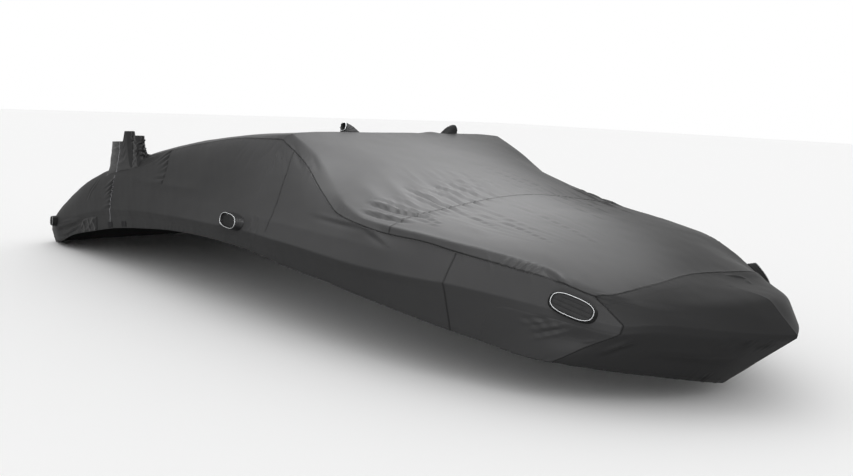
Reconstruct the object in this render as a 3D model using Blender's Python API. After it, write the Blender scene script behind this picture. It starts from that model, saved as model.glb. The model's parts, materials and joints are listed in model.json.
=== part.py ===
# Fitted boat cover, 7.1 m long: woven polyester, cut in panels and sewn.
# Frame: +X forward, +Y to port, +Z up. The origin lies under the top's crest, where the
# cover bears on what is beneath it, at the middle of the beam. The tables below count x from
# the stern and z from the rail line, and every piece is then moved by the same amount.
import math

import bmesh
import bpy
import numpy as np
from mathutils import Vector
from mathutils.bvhtree import BVHTree

for item in list(bpy.data.objects):
    bpy.data.objects.remove(item, do_unlink=True)

# Driving sizes, in metres.
CLOTH = 0.002            # thickness of every panel
PATCH_CLOTH = 0.0012     # thickness of the wear patches
SEAM_PULL = 0.0004       # each panel stops this far from its seam line
PATCH_GAP = 0.0004       # air between a panel and what is sewn on it
HALF_BEAM = 1.30         # widest half breadth, at the rail line
STEM_X = 7.187           # foremost point of the rail line
TAPER_X = 3.37           # the rail line starts to draw in here
TAPER_POWER = 2.83
BOW_ROUND = 0.439
RAIL_BAND = 0.045        # height of the band that stands out along the rail line
RAIL_TUCK = 0.012        # how far the cloth falls back under that band
BAND_AT_STEM = 0.35      # the band narrows to this share of its height at the stem
CREST_X = 4.02           # the crest, the highest fold of the top
CREST_Z = 0.768
CREST_STATION = 8
CROSS_STATION = 13       # seam across the foredeck
JOIN_STATION = 15        # seam down the side, forward of the middle
CAP_STATION = 18         # seam of the bow cap

# Sections aft of the side join, stern to bow, starboard half. x along the cover for the
# lower lines and top_x for the upper ones, then half breadths (y) and heights (z) of the lines.
AFT_COLUMNS = ("x", "top_x", "hem_y", "hem_z", "rail_z", "bend_y", "bend_z", "seam_y", "seam_z",
               "ridge_y", "ridge_z", "middle_z", "crown_z")
AFT_SECTIONS = (
    (0.12, 0.12, 1.190, -0.505, -0.385, 1.220, -0.320, 1.165, -0.265, 1.090, -0.245, -0.240, -0.240),
    (0.45, 0.45, 1.265, -0.455, -0.300, 1.275, -0.190, 1.205, -0.090, 1.110, -0.060, -0.052, -0.050),
    (0.85, 0.85, 1.282, -0.335, -0.185, 1.275, -0.035, 1.195, 0.107, 1.100, 0.142, 0.157, 0.162),
    (1.30, 1.30, 1.284, -0.245, -0.075, 1.270, 0.080, 1.170, 0.270, 1.080, 0.298, 0.320, 0.328),
    (1.80, 1.80, 1.284, -0.155, -0.003, 1.265, 0.140, 1.135, 0.400, 1.030, 0.437, 0.462, 0.472),
    (2.35, 2.35, 1.284, -0.088, 0.045, 1.260, 0.185, 1.105, 0.515, 1.000, 0.557, 0.582, 0.592),
    (2.95, 2.95, 1.284, -0.034, 0.072, 1.255, 0.205, 1.080, 0.620, 0.980, 0.655, 0.676, 0.684),
    (3.50, 3.54, 1.284, -0.017, 0.087, 1.250, 0.215, 1.050, 0.690, 0.965, 0.720, 0.732, 0.736),
    (3.93, 4.02, 1.278, -0.024, 0.096, 1.245, 0.215, 1.000, 0.706, 0.968, 0.751, 0.767, 0.768),
    (4.25, 4.30, 1.270, -0.050, 0.087, 1.235, 0.205, 1.030, 0.578, 0.962, 0.632, 0.688, 0.700),
    (4.55, 4.57, 1.258, -0.078, 0.077, 1.220, 0.195, 1.085, 0.405, 1.008, 0.466, 0.600, 0.633),
    (4.80, 4.80, 1.243, -0.093, 0.062, 1.203, 0.187, 1.132, 0.298, 1.089, 0.362, 0.513, 0.570),
    (5.04, 5.04, 1.223, -0.119, 0.047, 1.183, 0.179, 1.145, 0.264, 1.122, 0.299, 0.435, 0.500),
    (5.27, 5.27, 1.196, -0.146, 0.040, 1.163, 0.168, 1.117, 0.239, 1.097, 0.277, 0.375, 0.432),
    (5.52, 5.52, 1.158, -0.176, 0.039, 1.124, 0.153, 1.083, 0.231, 1.065, 0.262, 0.335, 0.382),
)
# Sections from the side join to the stem. They lean forward at the rail line and fan out
# round the bow, so each line has its own x.
BOW_COLUMNS = ("rail_x", "rail_y", "rail_z", "hem_x", "hem_y", "hem_z",
               "seam_x", "seam_y", "seam_z", "ridge_x", "ridge_y", "ridge_z",
               "middle_x", "middle_y", "middle_z", "crown_x", "crown_z")
BOW_SECTIONS = (
    (5.770, 1.133, 0.043, 5.800, 1.090, -0.214, 5.760, 1.035, 0.202,
     5.740, 1.020, 0.242, 5.755, 0.590, 0.305, 5.770, 0.340),
    (6.080, 1.050, 0.027, 6.025, 1.015, -0.247, 6.040, 0.965, 0.170,
     6.020, 0.933, 0.213, 6.020, 0.540, 0.265, 6.020, 0.285),
    (6.400, 0.915, -0.008, 6.190, 0.960, -0.275, 6.325, 0.865, 0.128,
     6.300, 0.825, 0.161, 6.320, 0.490, 0.193, 6.290, 0.210),
    (6.674, 0.742, -0.050, 6.345, 0.880, -0.292, 6.515, 0.775, 0.070,
     6.575, 0.705, 0.083, 6.610, 0.450, 0.112, 6.550, 0.122),
    (6.800, 0.605, -0.036, 6.575, 0.640, -0.326, 6.742, 0.580, 0.026,
     6.705, 0.545, 0.050, 6.695, 0.330, 0.090, 6.665, 0.109),
    (6.920, 0.437, -0.052, 6.705, 0.440, -0.353, 6.888, 0.430, 0.008,
     6.850, 0.415, 0.037, 6.800, 0.235, 0.078, 6.740, 0.101),
    (7.020, 0.292, -0.066, 6.770, 0.265, -0.381, 6.988, 0.280, -0.001,
     6.945, 0.265, 0.046, 6.870, 0.135, 0.080, 6.770, 0.098),
    (7.115, 0.145, -0.077, 6.790, 0.120, -0.408, 7.060, 0.135, -0.001,
     6.985, 0.120, 0.060, 6.900, 0.060, 0.084, 6.782, 0.096),
    (7.187, 0.000, -0.085, 6.795, 0.000, -0.428, 7.095, 0.000, -0.003,
     7.000, 0.000, 0.073, 6.912, 0.000, 0.087, 6.786, 0.095),
)
BEND_SHARE = 0.57        # at the bow the side bends this far up from the rail to the seam

LINES = ("hem", "under", "rail", "bend", "seam", "ridge", "middle", "crown")
CREASED_LINES = ("seam", "ridge", "middle", "crown")

# Cells between sections, stern to stem: (from station, to station, cells).
STATION_CELLS = (
    (0, 3.24, 8), (3.24, 4.18, 4), (4.18, 4.42, 3), (4.42, 8, 9), (8, 11, 7), (11, 13, 5),
    (13, 15, 4), (15, 18, 8), (18, 21, 7), (21, 23, 4),
)
# Cells between a line and the next one up: line, cells to starboard, cells to port.
LINE_CELLS = (
    ("hem", 3, 3), ("under", 1, 1), ("rail", 2, 2), ("bend", 3, 3), ("seam", 2, 2),
    ("ridge", 8, 4), ("middle", 8, 4),
)
STERN_BULGE = 0.05       # the stern panel bows out this far

# Main folds: soft ridges on the cloth. Start and end in plan, half width, height.
FOLD_COLUMNS = ("x0", "y0", "x1", "y1", "width", "height")
FOLDS = (
    (4.60, -0.88, 5.14, -0.99, 0.050, 0.018),
    (4.66, -0.72, 5.20, -0.84, 0.050, 0.020),
    (4.72, -0.56, 5.22, -0.69, 0.050, 0.018),
    (4.76, -0.40, 5.24, -0.53, 0.048, 0.015),
    (4.82, -0.25, 5.24, -0.37, 0.046, 0.011),
    (4.88, -0.10, 5.24, -0.20, 0.045, 0.007),
    (5.34, -0.78, 5.80, -0.80, 0.055, 0.008),
    (5.34, -0.58, 5.90, -0.62, 0.055, 0.006),
)
# Hollows pressed into the cloth: centre, reach along and across, depth. A rise is negative.
DIMPLE_COLUMNS = ("x", "y", "z", "along", "across", "depth")
DIMPLES = (
    (6.44, -0.84, -0.150, 0.16, 0.06, 0.022),
    (6.46, 0.84, -0.150, 0.14, 0.06, 0.018),
    (0.55, -1.27, -0.330, 0.22, 0.04, 0.014),
    (0.80, 1.28, -0.250, 0.25, 0.04, 0.012),
    (2.10, 0.05, 0.560, 0.70, 0.60, 0.020),
    (1.20, -0.30, 0.300, 0.50, 0.40, 0.012),
    (3.99, 0.27, 0.766, 0.07, 0.07, -0.012),
    (6.47, 0.73, 0.100, 0.30, 0.17, 0.036),
)

# Sleeves that stand open at the top. The rim of each lies between two stations, from one cell
# below the side seam up to its high line. The top is an oval at the given place, with its
# forward end raised as a flap. A small draw_in brings the cloth in low down, then straight up.
BOOTS = (
    {"name": "aft", "from": 3.24, "to": 4.18, "high": 5.0, "x": 1.655, "y": 1.150, "z": 0.560,
     "length": 0.37, "width": 0.120, "slope": 0.06, "flap": 0.085, "draw_in": 0.45, "crumple": 0.005},
    {"name": "fore", "from": 4.18, "to": 4.42, "high": 4.5, "x": 1.966, "y": 1.148, "z": 0.625,
     "length": 0.118, "width": 0.078, "slope": 0.03, "flap": 0.0, "draw_in": 0.22, "crumple": 0.005},
)
BOOT_RISES = (0.0, 0.16, 0.36, 0.58, 0.80, 1.0)   # heights of the rings, as shares
BOOT_LOW = 3 + 2 / 3     # the rim's lower line: the last cell of the side below the seam
FLAP_FROM = 0.56         # the flap starts this far forward of the oval's middle, as a share

# Hooded vents: place on the cover, size of the oval and how its mouth stands.
# tilt 0 is a drum that faces out of the cloth, 1 a scoop that faces outboard. slant lowers the
# aft end of a drum's mouth, and deep is how far inside the mouth the mesh lies.
VENTS = (
    {"name": "bow", "x": 6.45, "z": 0.012, "y": 0.90, "long": 0.262, "wide": 0.116,
     "rise": 0.040, "tilt": 0.0, "fall": 6, "slant": 0.0, "deep": 0.009},
    {"name": "side", "x": 3.78, "z": 0.140, "y": 1.30, "long": 0.275, "wide": 0.112,
     "rise": 0.056, "tilt": 0.0, "fall": 4, "slant": 0.35, "deep": 0.009},
    {"name": "stern", "x": 0.37, "z": -0.270, "y": 1.30, "long": 0.200, "wide": 0.100,
     "rise": 0.034, "tilt": 0.0, "fall": 0, "slant": 0.0, "deep": 0.009},
    {"name": "top", "x": 3.978, "z": 0.90, "y": 0.472, "long": 0.082, "wide": 0.148,
     "rise": 0.080, "tilt": 1.0, "fall": 0, "slant": 0.0, "deep": 0.020},
)
VENT_LEVEL = 0.5         # a drum's axis is brought this far from the cloth's normal to level
VENT_SIDES = 20          # points round a vent
VENT_WALL = 0.003
VENT_SQUARE = 2.7        # 2 is a plain oval, more makes its sides straighter
VENT_DRAW_IN = 0.87      # the mouth of a drum is this much of its foot
HOOD_LEAN = 0.75         # a scoop's back leans this far over its mouth
HOOD_SWELL = 0.011       # and swells up this far on the way
HOOD_RINGS = 3           # rings between a scoop's foot and its mouth
PIPING = 0.0026          # radius of the piping round a mouth
SEAT_GAP = 0.0011        # air under the foot of a vent

# Wear patch under each bow vent, and a doubled patch low at each stern quarter: stations and lines.
PATCHES = (
    {"name": "wear_patch", "from": 15.75, "to": 18, "low": "hem", "high": "under",
     "bulge": 0.0, "cloth": PATCH_CLOTH},
    {"name": "stern_patch", "from": 2.43, "to": 3.24, "low": "hem", "high": "under",
     "bulge": 0.008, "cloth": PATCH_CLOTH},
)
# Strap tabs sewn on at the hem: distance from the stern.
STRAP_TABS = (1.69, 1.98)
STRAP_WIDTH = 0.100
STRAP_LENGTH = 0.055
STRAP_CLOTH = 0.0022

COLOURS = {
    "top": (0.070, 0.072, 0.076), "side": (0.048, 0.049, 0.052), "cap": (0.030, 0.031, 0.033),
    "boot": (0.020, 0.020, 0.022), "patch": (0.034, 0.035, 0.037), "vent": (0.008, 0.008, 0.009),
    "piping": (0.55, 0.56, 0.57), "strap": (0.006, 0.006, 0.007),
}


def smooth_curve(knots, values, at):
    """Monotone cubic through the rows of values, read at the places in at."""
    steps = np.diff(knots)[:, None]
    rises = np.diff(values, axis=0) / steps
    slopes = np.empty_like(values)
    slopes[0] = rises[0]
    slopes[-1] = rises[-1]
    before, after = rises[:-1], rises[1:]
    weight_a = 2 * steps[1:] + steps[:-1]
    weight_b = steps[1:] + 2 * steps[:-1]
    same = before * after > 0
    safe_before = np.where(same, before, 1.0)
    safe_after = np.where(same, after, 1.0)
    mean = (weight_a + weight_b) / (weight_a / safe_before + weight_b / safe_after)
    slopes[1:-1] = np.where(same, mean, 0.0)
    span = np.clip(np.searchsorted(knots, at, side="right") - 1, 0, len(knots) - 2)
    step = steps[span]
    s = (at - knots[span])[:, None] / step
    return ((1 + 2 * s) * (1 - s) ** 2 * values[span]
            + s * (1 - s) ** 2 * step * slopes[span]
            + s ** 2 * (3 - 2 * s) * values[span + 1]
            + s ** 2 * (s - 1) * step * slopes[span + 1])


def beam_at(x):
    """Half breadth of the rail line at x."""
    share = min(max((x - TAPER_X) / (STEM_X - TAPER_X), 0.0), 1.0)
    return HALF_BEAM * (1 - share ** TAPER_POWER) ** BOW_ROUND


def section_points():
    """For each section, the half-section's point on every line, hem to crown."""
    sections = []
    for row in AFT_SECTIONS:
        s = dict(zip(AFT_COLUMNS, row))
        rail_y = min(beam_at(s["x"]), s["hem_y"] + 0.035)
        sections.append((
            (s["x"], s["hem_y"], s["hem_z"]),
            (s["x"], rail_y - RAIL_TUCK, s["rail_z"] - RAIL_BAND),
            (s["x"], rail_y, s["rail_z"]),
            (s["x"], s["bend_y"], s["bend_z"]),
            (s["x"], s["seam_y"], s["seam_z"]),
            (s["top_x"], s["ridge_y"], s["ridge_z"]),
            (s["top_x"], 0.6 * s["ridge_y"], s["middle_z"]),
            (s["top_x"], 0.0, s["crown_z"]),
        ))
    for row in BOW_SECTIONS:
        s = dict(zip(BOW_COLUMNS, row))
        rail = np.array((s["rail_x"], s["rail_y"], s["rail_z"]))
        seam = np.array((s["seam_x"], s["seam_y"], s["seam_z"]))
        hem = np.array((s["hem_x"], s["hem_y"], s["hem_z"]))
        inward = (hem - rail) * (1, 1, 0)
        share = min(BAND_AT_STEM + 2.0 * s["rail_y"], 1.0)
        tuck = inward * (RAIL_TUCK / np.linalg.norm(inward))
        under = rail + share * (tuck - (0, 0, RAIL_BAND))
        sections.append((
            hem, under, rail, rail + BEND_SHARE * (seam - rail), seam,
            (s["ridge_x"], s["ridge_y"], s["ridge_z"]),
            (s["middle_x"], s["middle_y"], s["middle_z"]),
            (s["crown_x"], 0.0, s["crown_z"]),
        ))
    return np.array(sections)


def station_list():
    """Station numbers of the lines that run across the cover, stern to stem."""
    places = [0.0]
    for start, end, cells in STATION_CELLS:
        places += [start + (end - start) * i / cells for i in range(1, cells + 1)]
    return np.array(places)


def place_list(side):
    """Places of the lengthwise lines, hem to crown, as line number and share."""
    places = []
    for number, (_, starboard, port) in enumerate(LINE_CELLS):
        cells = starboard if side < 0 else port
        places += [number + i / cells for i in range(cells)]
    return np.array(places + [len(LINES) - 1.0])


def run_lines(sections, stations):
    """Each line faired along the cover: an array [station, line, xyz]."""
    steps = np.linalg.norm(np.diff(sections[:, LINES.index("rail")], axis=0), axis=1)
    knots = np.concatenate(([0.0], np.cumsum(steps)))
    at = np.interp(stations, np.arange(len(knots)), knots)
    aft = stations <= CREST_STATION
    runs = []
    for number, line in enumerate(LINES):
        points = sections[:, number]
        if line in CREASED_LINES:
            run = np.empty((len(stations), 3))
            cut = CREST_STATION + 1
            run[aft] = smooth_curve(knots[:cut], points[:cut], at[aft])
            run[~aft] = smooth_curve(knots[cut - 1:], points[cut - 1:], at[~aft])
        else:
            run = smooth_curve(knots, points, at)
        runs.append(run)
    return np.array(runs).transpose(1, 0, 2)


def half_section(points, places, side):
    """One section's line points read at the places: straight to the rail line, then fair."""
    rail = LINES.index("rail")
    upper = points[rail:]
    steps = np.linalg.norm(np.diff(upper, axis=0), axis=1)
    knots = np.concatenate(([0.0], np.cumsum(steps), [steps.sum() + steps[-1]]))
    beyond = points[-2] * (1, -1, 1)
    if abs(points[-2][1]) < 1e-6:
        beyond = 2 * points[-1] - points[-2]
    at = np.interp(np.maximum(places - rail, 0), np.arange(len(knots)), knots)
    curve = smooth_curve(knots, np.vstack((upper, beyond)), at)
    for axis in range(3):
        straight = np.interp(places, np.arange(len(points)), points[:, axis])
        curve[:, axis] = np.where(places < rail, straight, curve[:, axis])
    curve[:, 1] *= side
    return curve


def fold_lift(p):
    """How far the folds and hollows lift the cloth at a point."""
    lift = 0.0
    for row in FOLDS:
        f = dict(zip(FOLD_COLUMNS, row))
        dx, dy = f["x1"] - f["x0"], f["y1"] - f["y0"]
        length = math.hypot(dx, dy)
        share = ((p[0] - f["x0"]) * dx + (p[1] - f["y0"]) * dy) / length ** 2
        off = ((p[1] - f["y0"]) * dx - (p[0] - f["x0"]) * dy) / length
        if p[2] > 0.2 and 0 < share < 1:
            lift += f["height"] * math.sin(math.pi * share) ** 0.8 * math.exp(-(off / f["width"]) ** 2)
    for row in DIMPLES:
        d = dict(zip(DIMPLE_COLUMNS, row))
        far = math.hypot((p[0] - d["x"]) / d["along"],
                         math.hypot(p[1] - d["y"], p[2] - d["z"]) / d["across"])
        lift -= d["depth"] * math.exp(-far ** 2)
    return lift


class Cloth:
    """The whole outer face: named points, and triangles sorted by the panel they belong to."""

    def __init__(self):
        self.stations = station_list()
        runs = run_lines(section_points(), self.stations)
        self.places = {side: place_list(side) for side in (-1, 1)}
        self.last = len(self.stations) - 1
        self.points = {}
        for i in range(self.last + 1):
            for side in (-1, 1):
                curve = half_section(runs[i], self.places[side], side)
                for place, point in zip(self.places[side], curve):
                    self.points.setdefault(self.key(i, side, place), point)
        self.panels = {}
        self.add_shell()
        self.add_stern()
        self.normals = self.point_normals()
        for key, point in list(self.points.items()):
            if key[0] != self.last:
                self.points[key] = point + self.normals[key] * fold_lift(point)
        self.normals = self.point_normals()
        self.tree = self.face_tree()

    def key(self, i, side, place):
        """Both halves share the points of the crown and of the stem."""
        if i == self.last or place > len(LINES) - 1.001:
            side = -1
        return i, side, round(float(place), 4)

    def panel_of(self, station, side, place):
        """The panel that a cell belongs to, or None in a boot's opening."""
        hand = "stbd" if side < 0 else "port"
        if station >= CAP_STATION:
            return "bow_cap"
        for boot in BOOTS:
            if boot["from"] <= station < boot["to"] and BOOT_LOW <= place < boot["high"]:
                return None
        if place < LINES.index("seam"):
            return ("side_aft_" if station < JOIN_STATION else "side_fore_") + hand
        if station < CREST_STATION:
            return "aft_top"
        return "windshield_panel" if station < CROSS_STATION else "foredeck_panel"

    def add_face(self, panel, keys):
        """A face given anticlockwise from outside, cut into triangles."""
        triangles = self.panels.setdefault(panel, [])
        for n in range(1, len(keys) - 1):
            triangles.append((keys[0], keys[n], keys[n + 1]))

    def add_shell(self):
        for i in range(self.last):
            for side in (-1, 1):
                places = self.places[side]
                for low, high in zip(places, places[1:]):
                    panel = self.panel_of(self.stations[i] + 0.001, side, low + 0.001)
                    if panel is None:
                        continue
                    a, b = self.key(i, side, low), self.key(i + 1, side, low)
                    c, d = self.key(i + 1, side, high), self.key(i, side, high)
                    keys = [a, b, c, d]
                    if side > 0:
                        between = []
                        if i + 1 == self.last:
                            finer = self.places[-1]
                            between = [self.key(self.last, -1, p) for p in finer if low + 1e-6 < p < high - 1e-6]
                        keys = [a, d, c] + between[::-1] + [b]
                    self.add_face(panel, keys)

    def add_stern(self):
        """The stern panel hangs from the aft ends of the top and of both skirts."""
        rail = LINES.index("rail")
        upper = [self.key(0, -1, p) for p in self.places[-1] if p >= rail]
        upper += [self.key(0, 1, p) for p in self.places[1][::-1] if rail <= p < len(LINES) - 1.001]
        edges = {side: [self.key(0, side, p) for p in self.places[side][::-1] if p <= rail]
                 for side in (-1, 1)}
        rows = len(edges[-1])
        across = np.array([self.points[k] for k in upper])
        left = np.array([self.points[k] for k in edges[-1]])
        right = np.array([self.points[k] for k in edges[1]])
        grid = [upper]
        for r in range(1, rows):
            drop = r / (rows - 1)
            row = [edges[-1][r]]
            for n in range(1, len(upper) - 1):
                share = (across[n][1] - across[0][1]) / (across[-1][1] - across[0][1])
                foot = left[-1] + share * (right[-1] - left[-1])
                point = across[n] * (1 - drop) + foot * drop
                side_way = (left[r] - left[0]) * (1 - share) + (right[r] - right[0]) * share
                straight = (left[-1] - left[0]) * (1 - share) + (right[-1] - right[0]) * share
                point = point + side_way - straight * drop
                round_off = math.sin(math.pi * share) ** 0.5 * math.sin(0.5 * math.pi * min(1.4 * drop, 1.0))
                point[0] -= STERN_BULGE * round_off
                key = ("stern", r, n)
                self.points[key] = point
                row.append(key)
            row.append(edges[1][r])
            grid.append(row)
        for upper_row, lower_row in zip(grid, grid[1:]):
            for n in range(len(upper) - 1):
                self.add_face("stern_panel", [upper_row[n + 1], lower_row[n + 1], lower_row[n], upper_row[n]])

    def point_normals(self):
        total = {key: np.zeros(3) for key in self.points}
        for triangles in self.panels.values():
            for a, b, c in triangles:
                face = np.cross(self.points[b] - self.points[a], self.points[c] - self.points[a])
                for key in (a, b, c):
                    total[key] += face
        for key, normal in total.items():
            if key[0] == self.last:
                normal[1] = 0.0
            total[key] = normal / max(np.linalg.norm(normal), 1e-12)
        return total

    def ways_in(self, keys):
        """At each point round an opening, the normal and the way that leads into the opening."""
        ways = {key: np.zeros(3) for key in keys}
        for triangles in self.panels.values():
            for t in triangles:
                centre = sum(self.points[k] for k in t) / 3
                for key in t:
                    if key in ways:
                        way = self.points[key] - centre
                        ways[key] += way / np.linalg.norm(way)
        middle = sum(self.points[key] for key in keys) / len(keys)
        mean = sum(self.normals[key] for key in keys)
        found = []
        for key in keys:
            normal, way = self.normals[key], ways[key]
            if not np.any(way):
                normal, way = mean / np.linalg.norm(mean), middle - self.points[key]
            to_middle = (middle - self.points[key]) / np.linalg.norm(middle - self.points[key])
            way = way / np.linalg.norm(way) + 0.6 * to_middle
            way = way - normal * np.dot(way, normal)
            found.append((normal, way / np.linalg.norm(way)))
        return found

    def face_tree(self):
        order = {key: n for n, key in enumerate(self.points)}
        triangles = [[order[k] for k in t] for faces in self.panels.values() for t in faces]
        return BVHTree.FromPolygons([Vector(p) for p in self.points.values()], triangles)

    def land(self, point, toward):
        """The place on the cloth straight below a point, seen along toward."""
        toward = Vector(toward).normalized()
        start = Vector(point) - toward * 0.25
        spot, normal, _, _ = self.tree.ray_cast(start, toward)
        return np.array(spot), np.array(normal)


def new_object(name, colour, vertices, faces):
    """A closed mesh object with its own material, in the cover's collection."""
    mesh = bpy.data.meshes.new(name)
    mesh.from_pydata([tuple(v) for v in vertices], [], faces)
    mesh.validate()
    solid = bmesh.new()
    solid.from_mesh(mesh)
    bmesh.ops.recalc_face_normals(solid, faces=solid.faces)
    solid.to_mesh(mesh)
    solid.free()
    mesh.shade_smooth()
    mesh.set_sharp_from_angle(angle=math.radians(40))
    return add_object(name, colour, mesh)


def add_object(name, colour, data):
    material = bpy.data.materials.new(name + "_finish")
    material.use_nodes = True
    shader = material.node_tree.nodes["Principled BSDF"]
    shader.inputs["Base Color"].default_value = (*COLOURS[colour], 1.0)
    shader.inputs["Roughness"].default_value = 0.35 if colour == "piping" else 0.85
    data.materials.append(material)
    piece = bpy.data.objects.new(name, data)
    piece.parent = bearing
    pieces.objects.link(piece)
    return piece


def shell(name, colour, triangles, points, normals, cloth, gap=0.0, bulge=None):
    """A sheet of even thickness with the given outer triangles, a little inside its outline."""
    keys = sorted({k for t in triangles for k in t}, key=str)
    order = {key: n for n, key in enumerate(keys)}
    centres = [sum(points[k] for k in t) / 3 for t in triangles]
    edges = {}
    inward = {key: np.zeros(3) for key in keys}
    for triangle, centre in zip(triangles, centres):
        for a, b in zip(triangle, triangle[1:] + triangle[:1]):
            edges[(a, b)] = True
        for key in triangle:
            way = centre - points[key]
            inward[key] += way / np.linalg.norm(way)
    rim = [(a, b) for a, b in edges if (b, a) not in edges]
    on_rim = {k for edge in rim for k in edge}
    outer, inner = [], []
    for key in keys:
        point = points[key] + normals[key] * gap
        if bulge is not None:
            point = point + normals[key] * bulge(key)
        pull = np.zeros(3)
        if key in on_rim:
            way = inward[key] - normals[key] * np.dot(inward[key], normals[key])
            pull = way * (SEAM_PULL / max(np.linalg.norm(way), 1e-9))
        point = point + pull
        if gap:
            inner.append(point)
            outer.append(point + normals[key] * cloth)
        else:
            outer.append(point)
            inner.append(point - normals[key] * cloth + pull * 0.5)
    count = len(keys)
    faces = [tuple(order[k] for k in t) for t in triangles]
    faces += [tuple(count + order[k] for k in reversed(t)) for t in triangles]
    faces += [(order[a], count + order[a], count + order[b], order[b]) for a, b in rim]
    return new_object(name, colour, outer + inner, faces)


def loft(name, colour, rings):
    """Rings of equal count joined in turn, and capped at both ends."""
    count = len(rings[0])
    vertices = [p for ring in rings for p in ring]
    faces = []
    for r in range(len(rings) - 1):
        low, high = r * count, (r + 1) * count
        for n in range(count):
            on = (n + 1) % count
            faces.append((low + n, low + on, high + on))
            faces.append((low + n, high + on, high + n))
    faces.append(tuple(reversed(range(count))))
    faces.append(tuple(range(high, high + count)))
    return new_object(name, colour, vertices, faces)


def make_boot(cloth, boot, side):
    """An open sleeve from the rim of its opening up to an oval round the leg."""
    rows = [i for i, s in enumerate(cloth.stations) if boot["from"] - 0.01 < s < boot["to"] + 0.01]
    places = [p for p in cloth.places[side] if BOOT_LOW - 0.01 < p < boot["high"] + 0.01]
    loop = [(rows[0], p) for p in places]
    loop += [(i, places[-1]) for i in rows[1:]]
    loop += [(rows[-1], p) for p in places[-2::-1]]
    loop += [(i, places[0]) for i in rows[-2:0:-1]]
    keys = [cloth.key(i, side, p) for i, p in loop]
    rim = np.array([cloth.points[k] for k in keys])
    ways_in = cloth.ways_in(keys)
    middle = rim.mean(axis=0)
    top_middle = np.array((boot["x"], side * boot["y"], boot["z"]))
    rings = [list(rim)]
    for number, rise in enumerate(BOOT_RISES[1:], start=1):
        draw = rise ** boot["draw_in"]
        ring = []
        for n, point in enumerate(rim):
            angle = math.atan2((point[1] - middle[1]) / 0.06, (point[0] - middle[0]) / 0.2)
            top = top_middle + (0.5 * boot["length"] * math.cos(angle),
                                0.5 * boot["width"] * math.sin(angle),
                                boot["slope"] * 0.5 * boot["length"] * math.cos(angle))
            top[2] += boot["flap"] * min(max(math.cos(angle) - FLAP_FROM, 0.0) / 0.12, 1.0)
            p = point * (1 - draw) + top * draw
            p[2] = point[2] * (1 - rise) + top[2] * rise
            axis = middle * (1 - draw) + top_middle * draw
            way = (p - axis) * (1, 1, 0)
            way /= np.linalg.norm(way)
            wave = boot["crumple"] * math.sin(math.pi * rise) * math.sin(5.3 * n + 2.1 * number)
            ring.append(p + way * wave)
        rings.append(ring)
    outer = np.array(rings)
    round_it = np.roll(outer, -1, axis=1) - np.roll(outer, 1, axis=1)
    skin = np.cross(round_it, np.gradient(outer, axis=0))
    skin /= np.linalg.norm(skin, axis=2, keepdims=True)
    facing = np.sign(np.sum(skin[-1] * (outer[-1] - outer[-1].mean(axis=0))))
    inner = outer - skin * facing * CLOTH
    for n, (normal, way_in) in enumerate(ways_in):
        along, rise = np.dot(outer[1, n] - rim[n], way_in), np.dot(outer[1, n] - rim[n], normal)
        along, rise = along / math.hypot(along, rise), rise / math.hypot(along, rise)
        outer[0, n] = rim[n] + way_in * (SEAM_PULL + 0.8 * CLOTH * max(-rise, 0))
        inner[0, n] = (rim[n] + way_in * (SEAM_PULL + CLOTH * max(rise, 0))
                       - normal * CLOTH * max(along, 0.4))
    count = outer.shape[0] * outer.shape[1]
    order = np.arange(count).reshape(outer.shape[:2])
    faces = []
    for low, high in zip(order, order[1:]):
        for a, b, c, d in zip(low, np.roll(low, -1), np.roll(high, -1), high):
            faces += [(a, b, c), (a, c, d)]
            faces += [(count + c, count + b, count + a), (count + d, count + c, count + a)]
    for edge in (order[0], order[-1]):
        for a, b in zip(edge, np.roll(edge, -1)):
            faces.append((a, count + a, count + b, b))
    faces = [tuple(int(k) for k in face) for face in faces]
    hand = "stbd" if side < 0 else "port"
    vertices = np.vstack((outer.reshape(-1, 3), inner.reshape(-1, 3)))
    new_object(f"boot_{boot['name']}_{hand}", "boot", vertices, faces)


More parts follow.
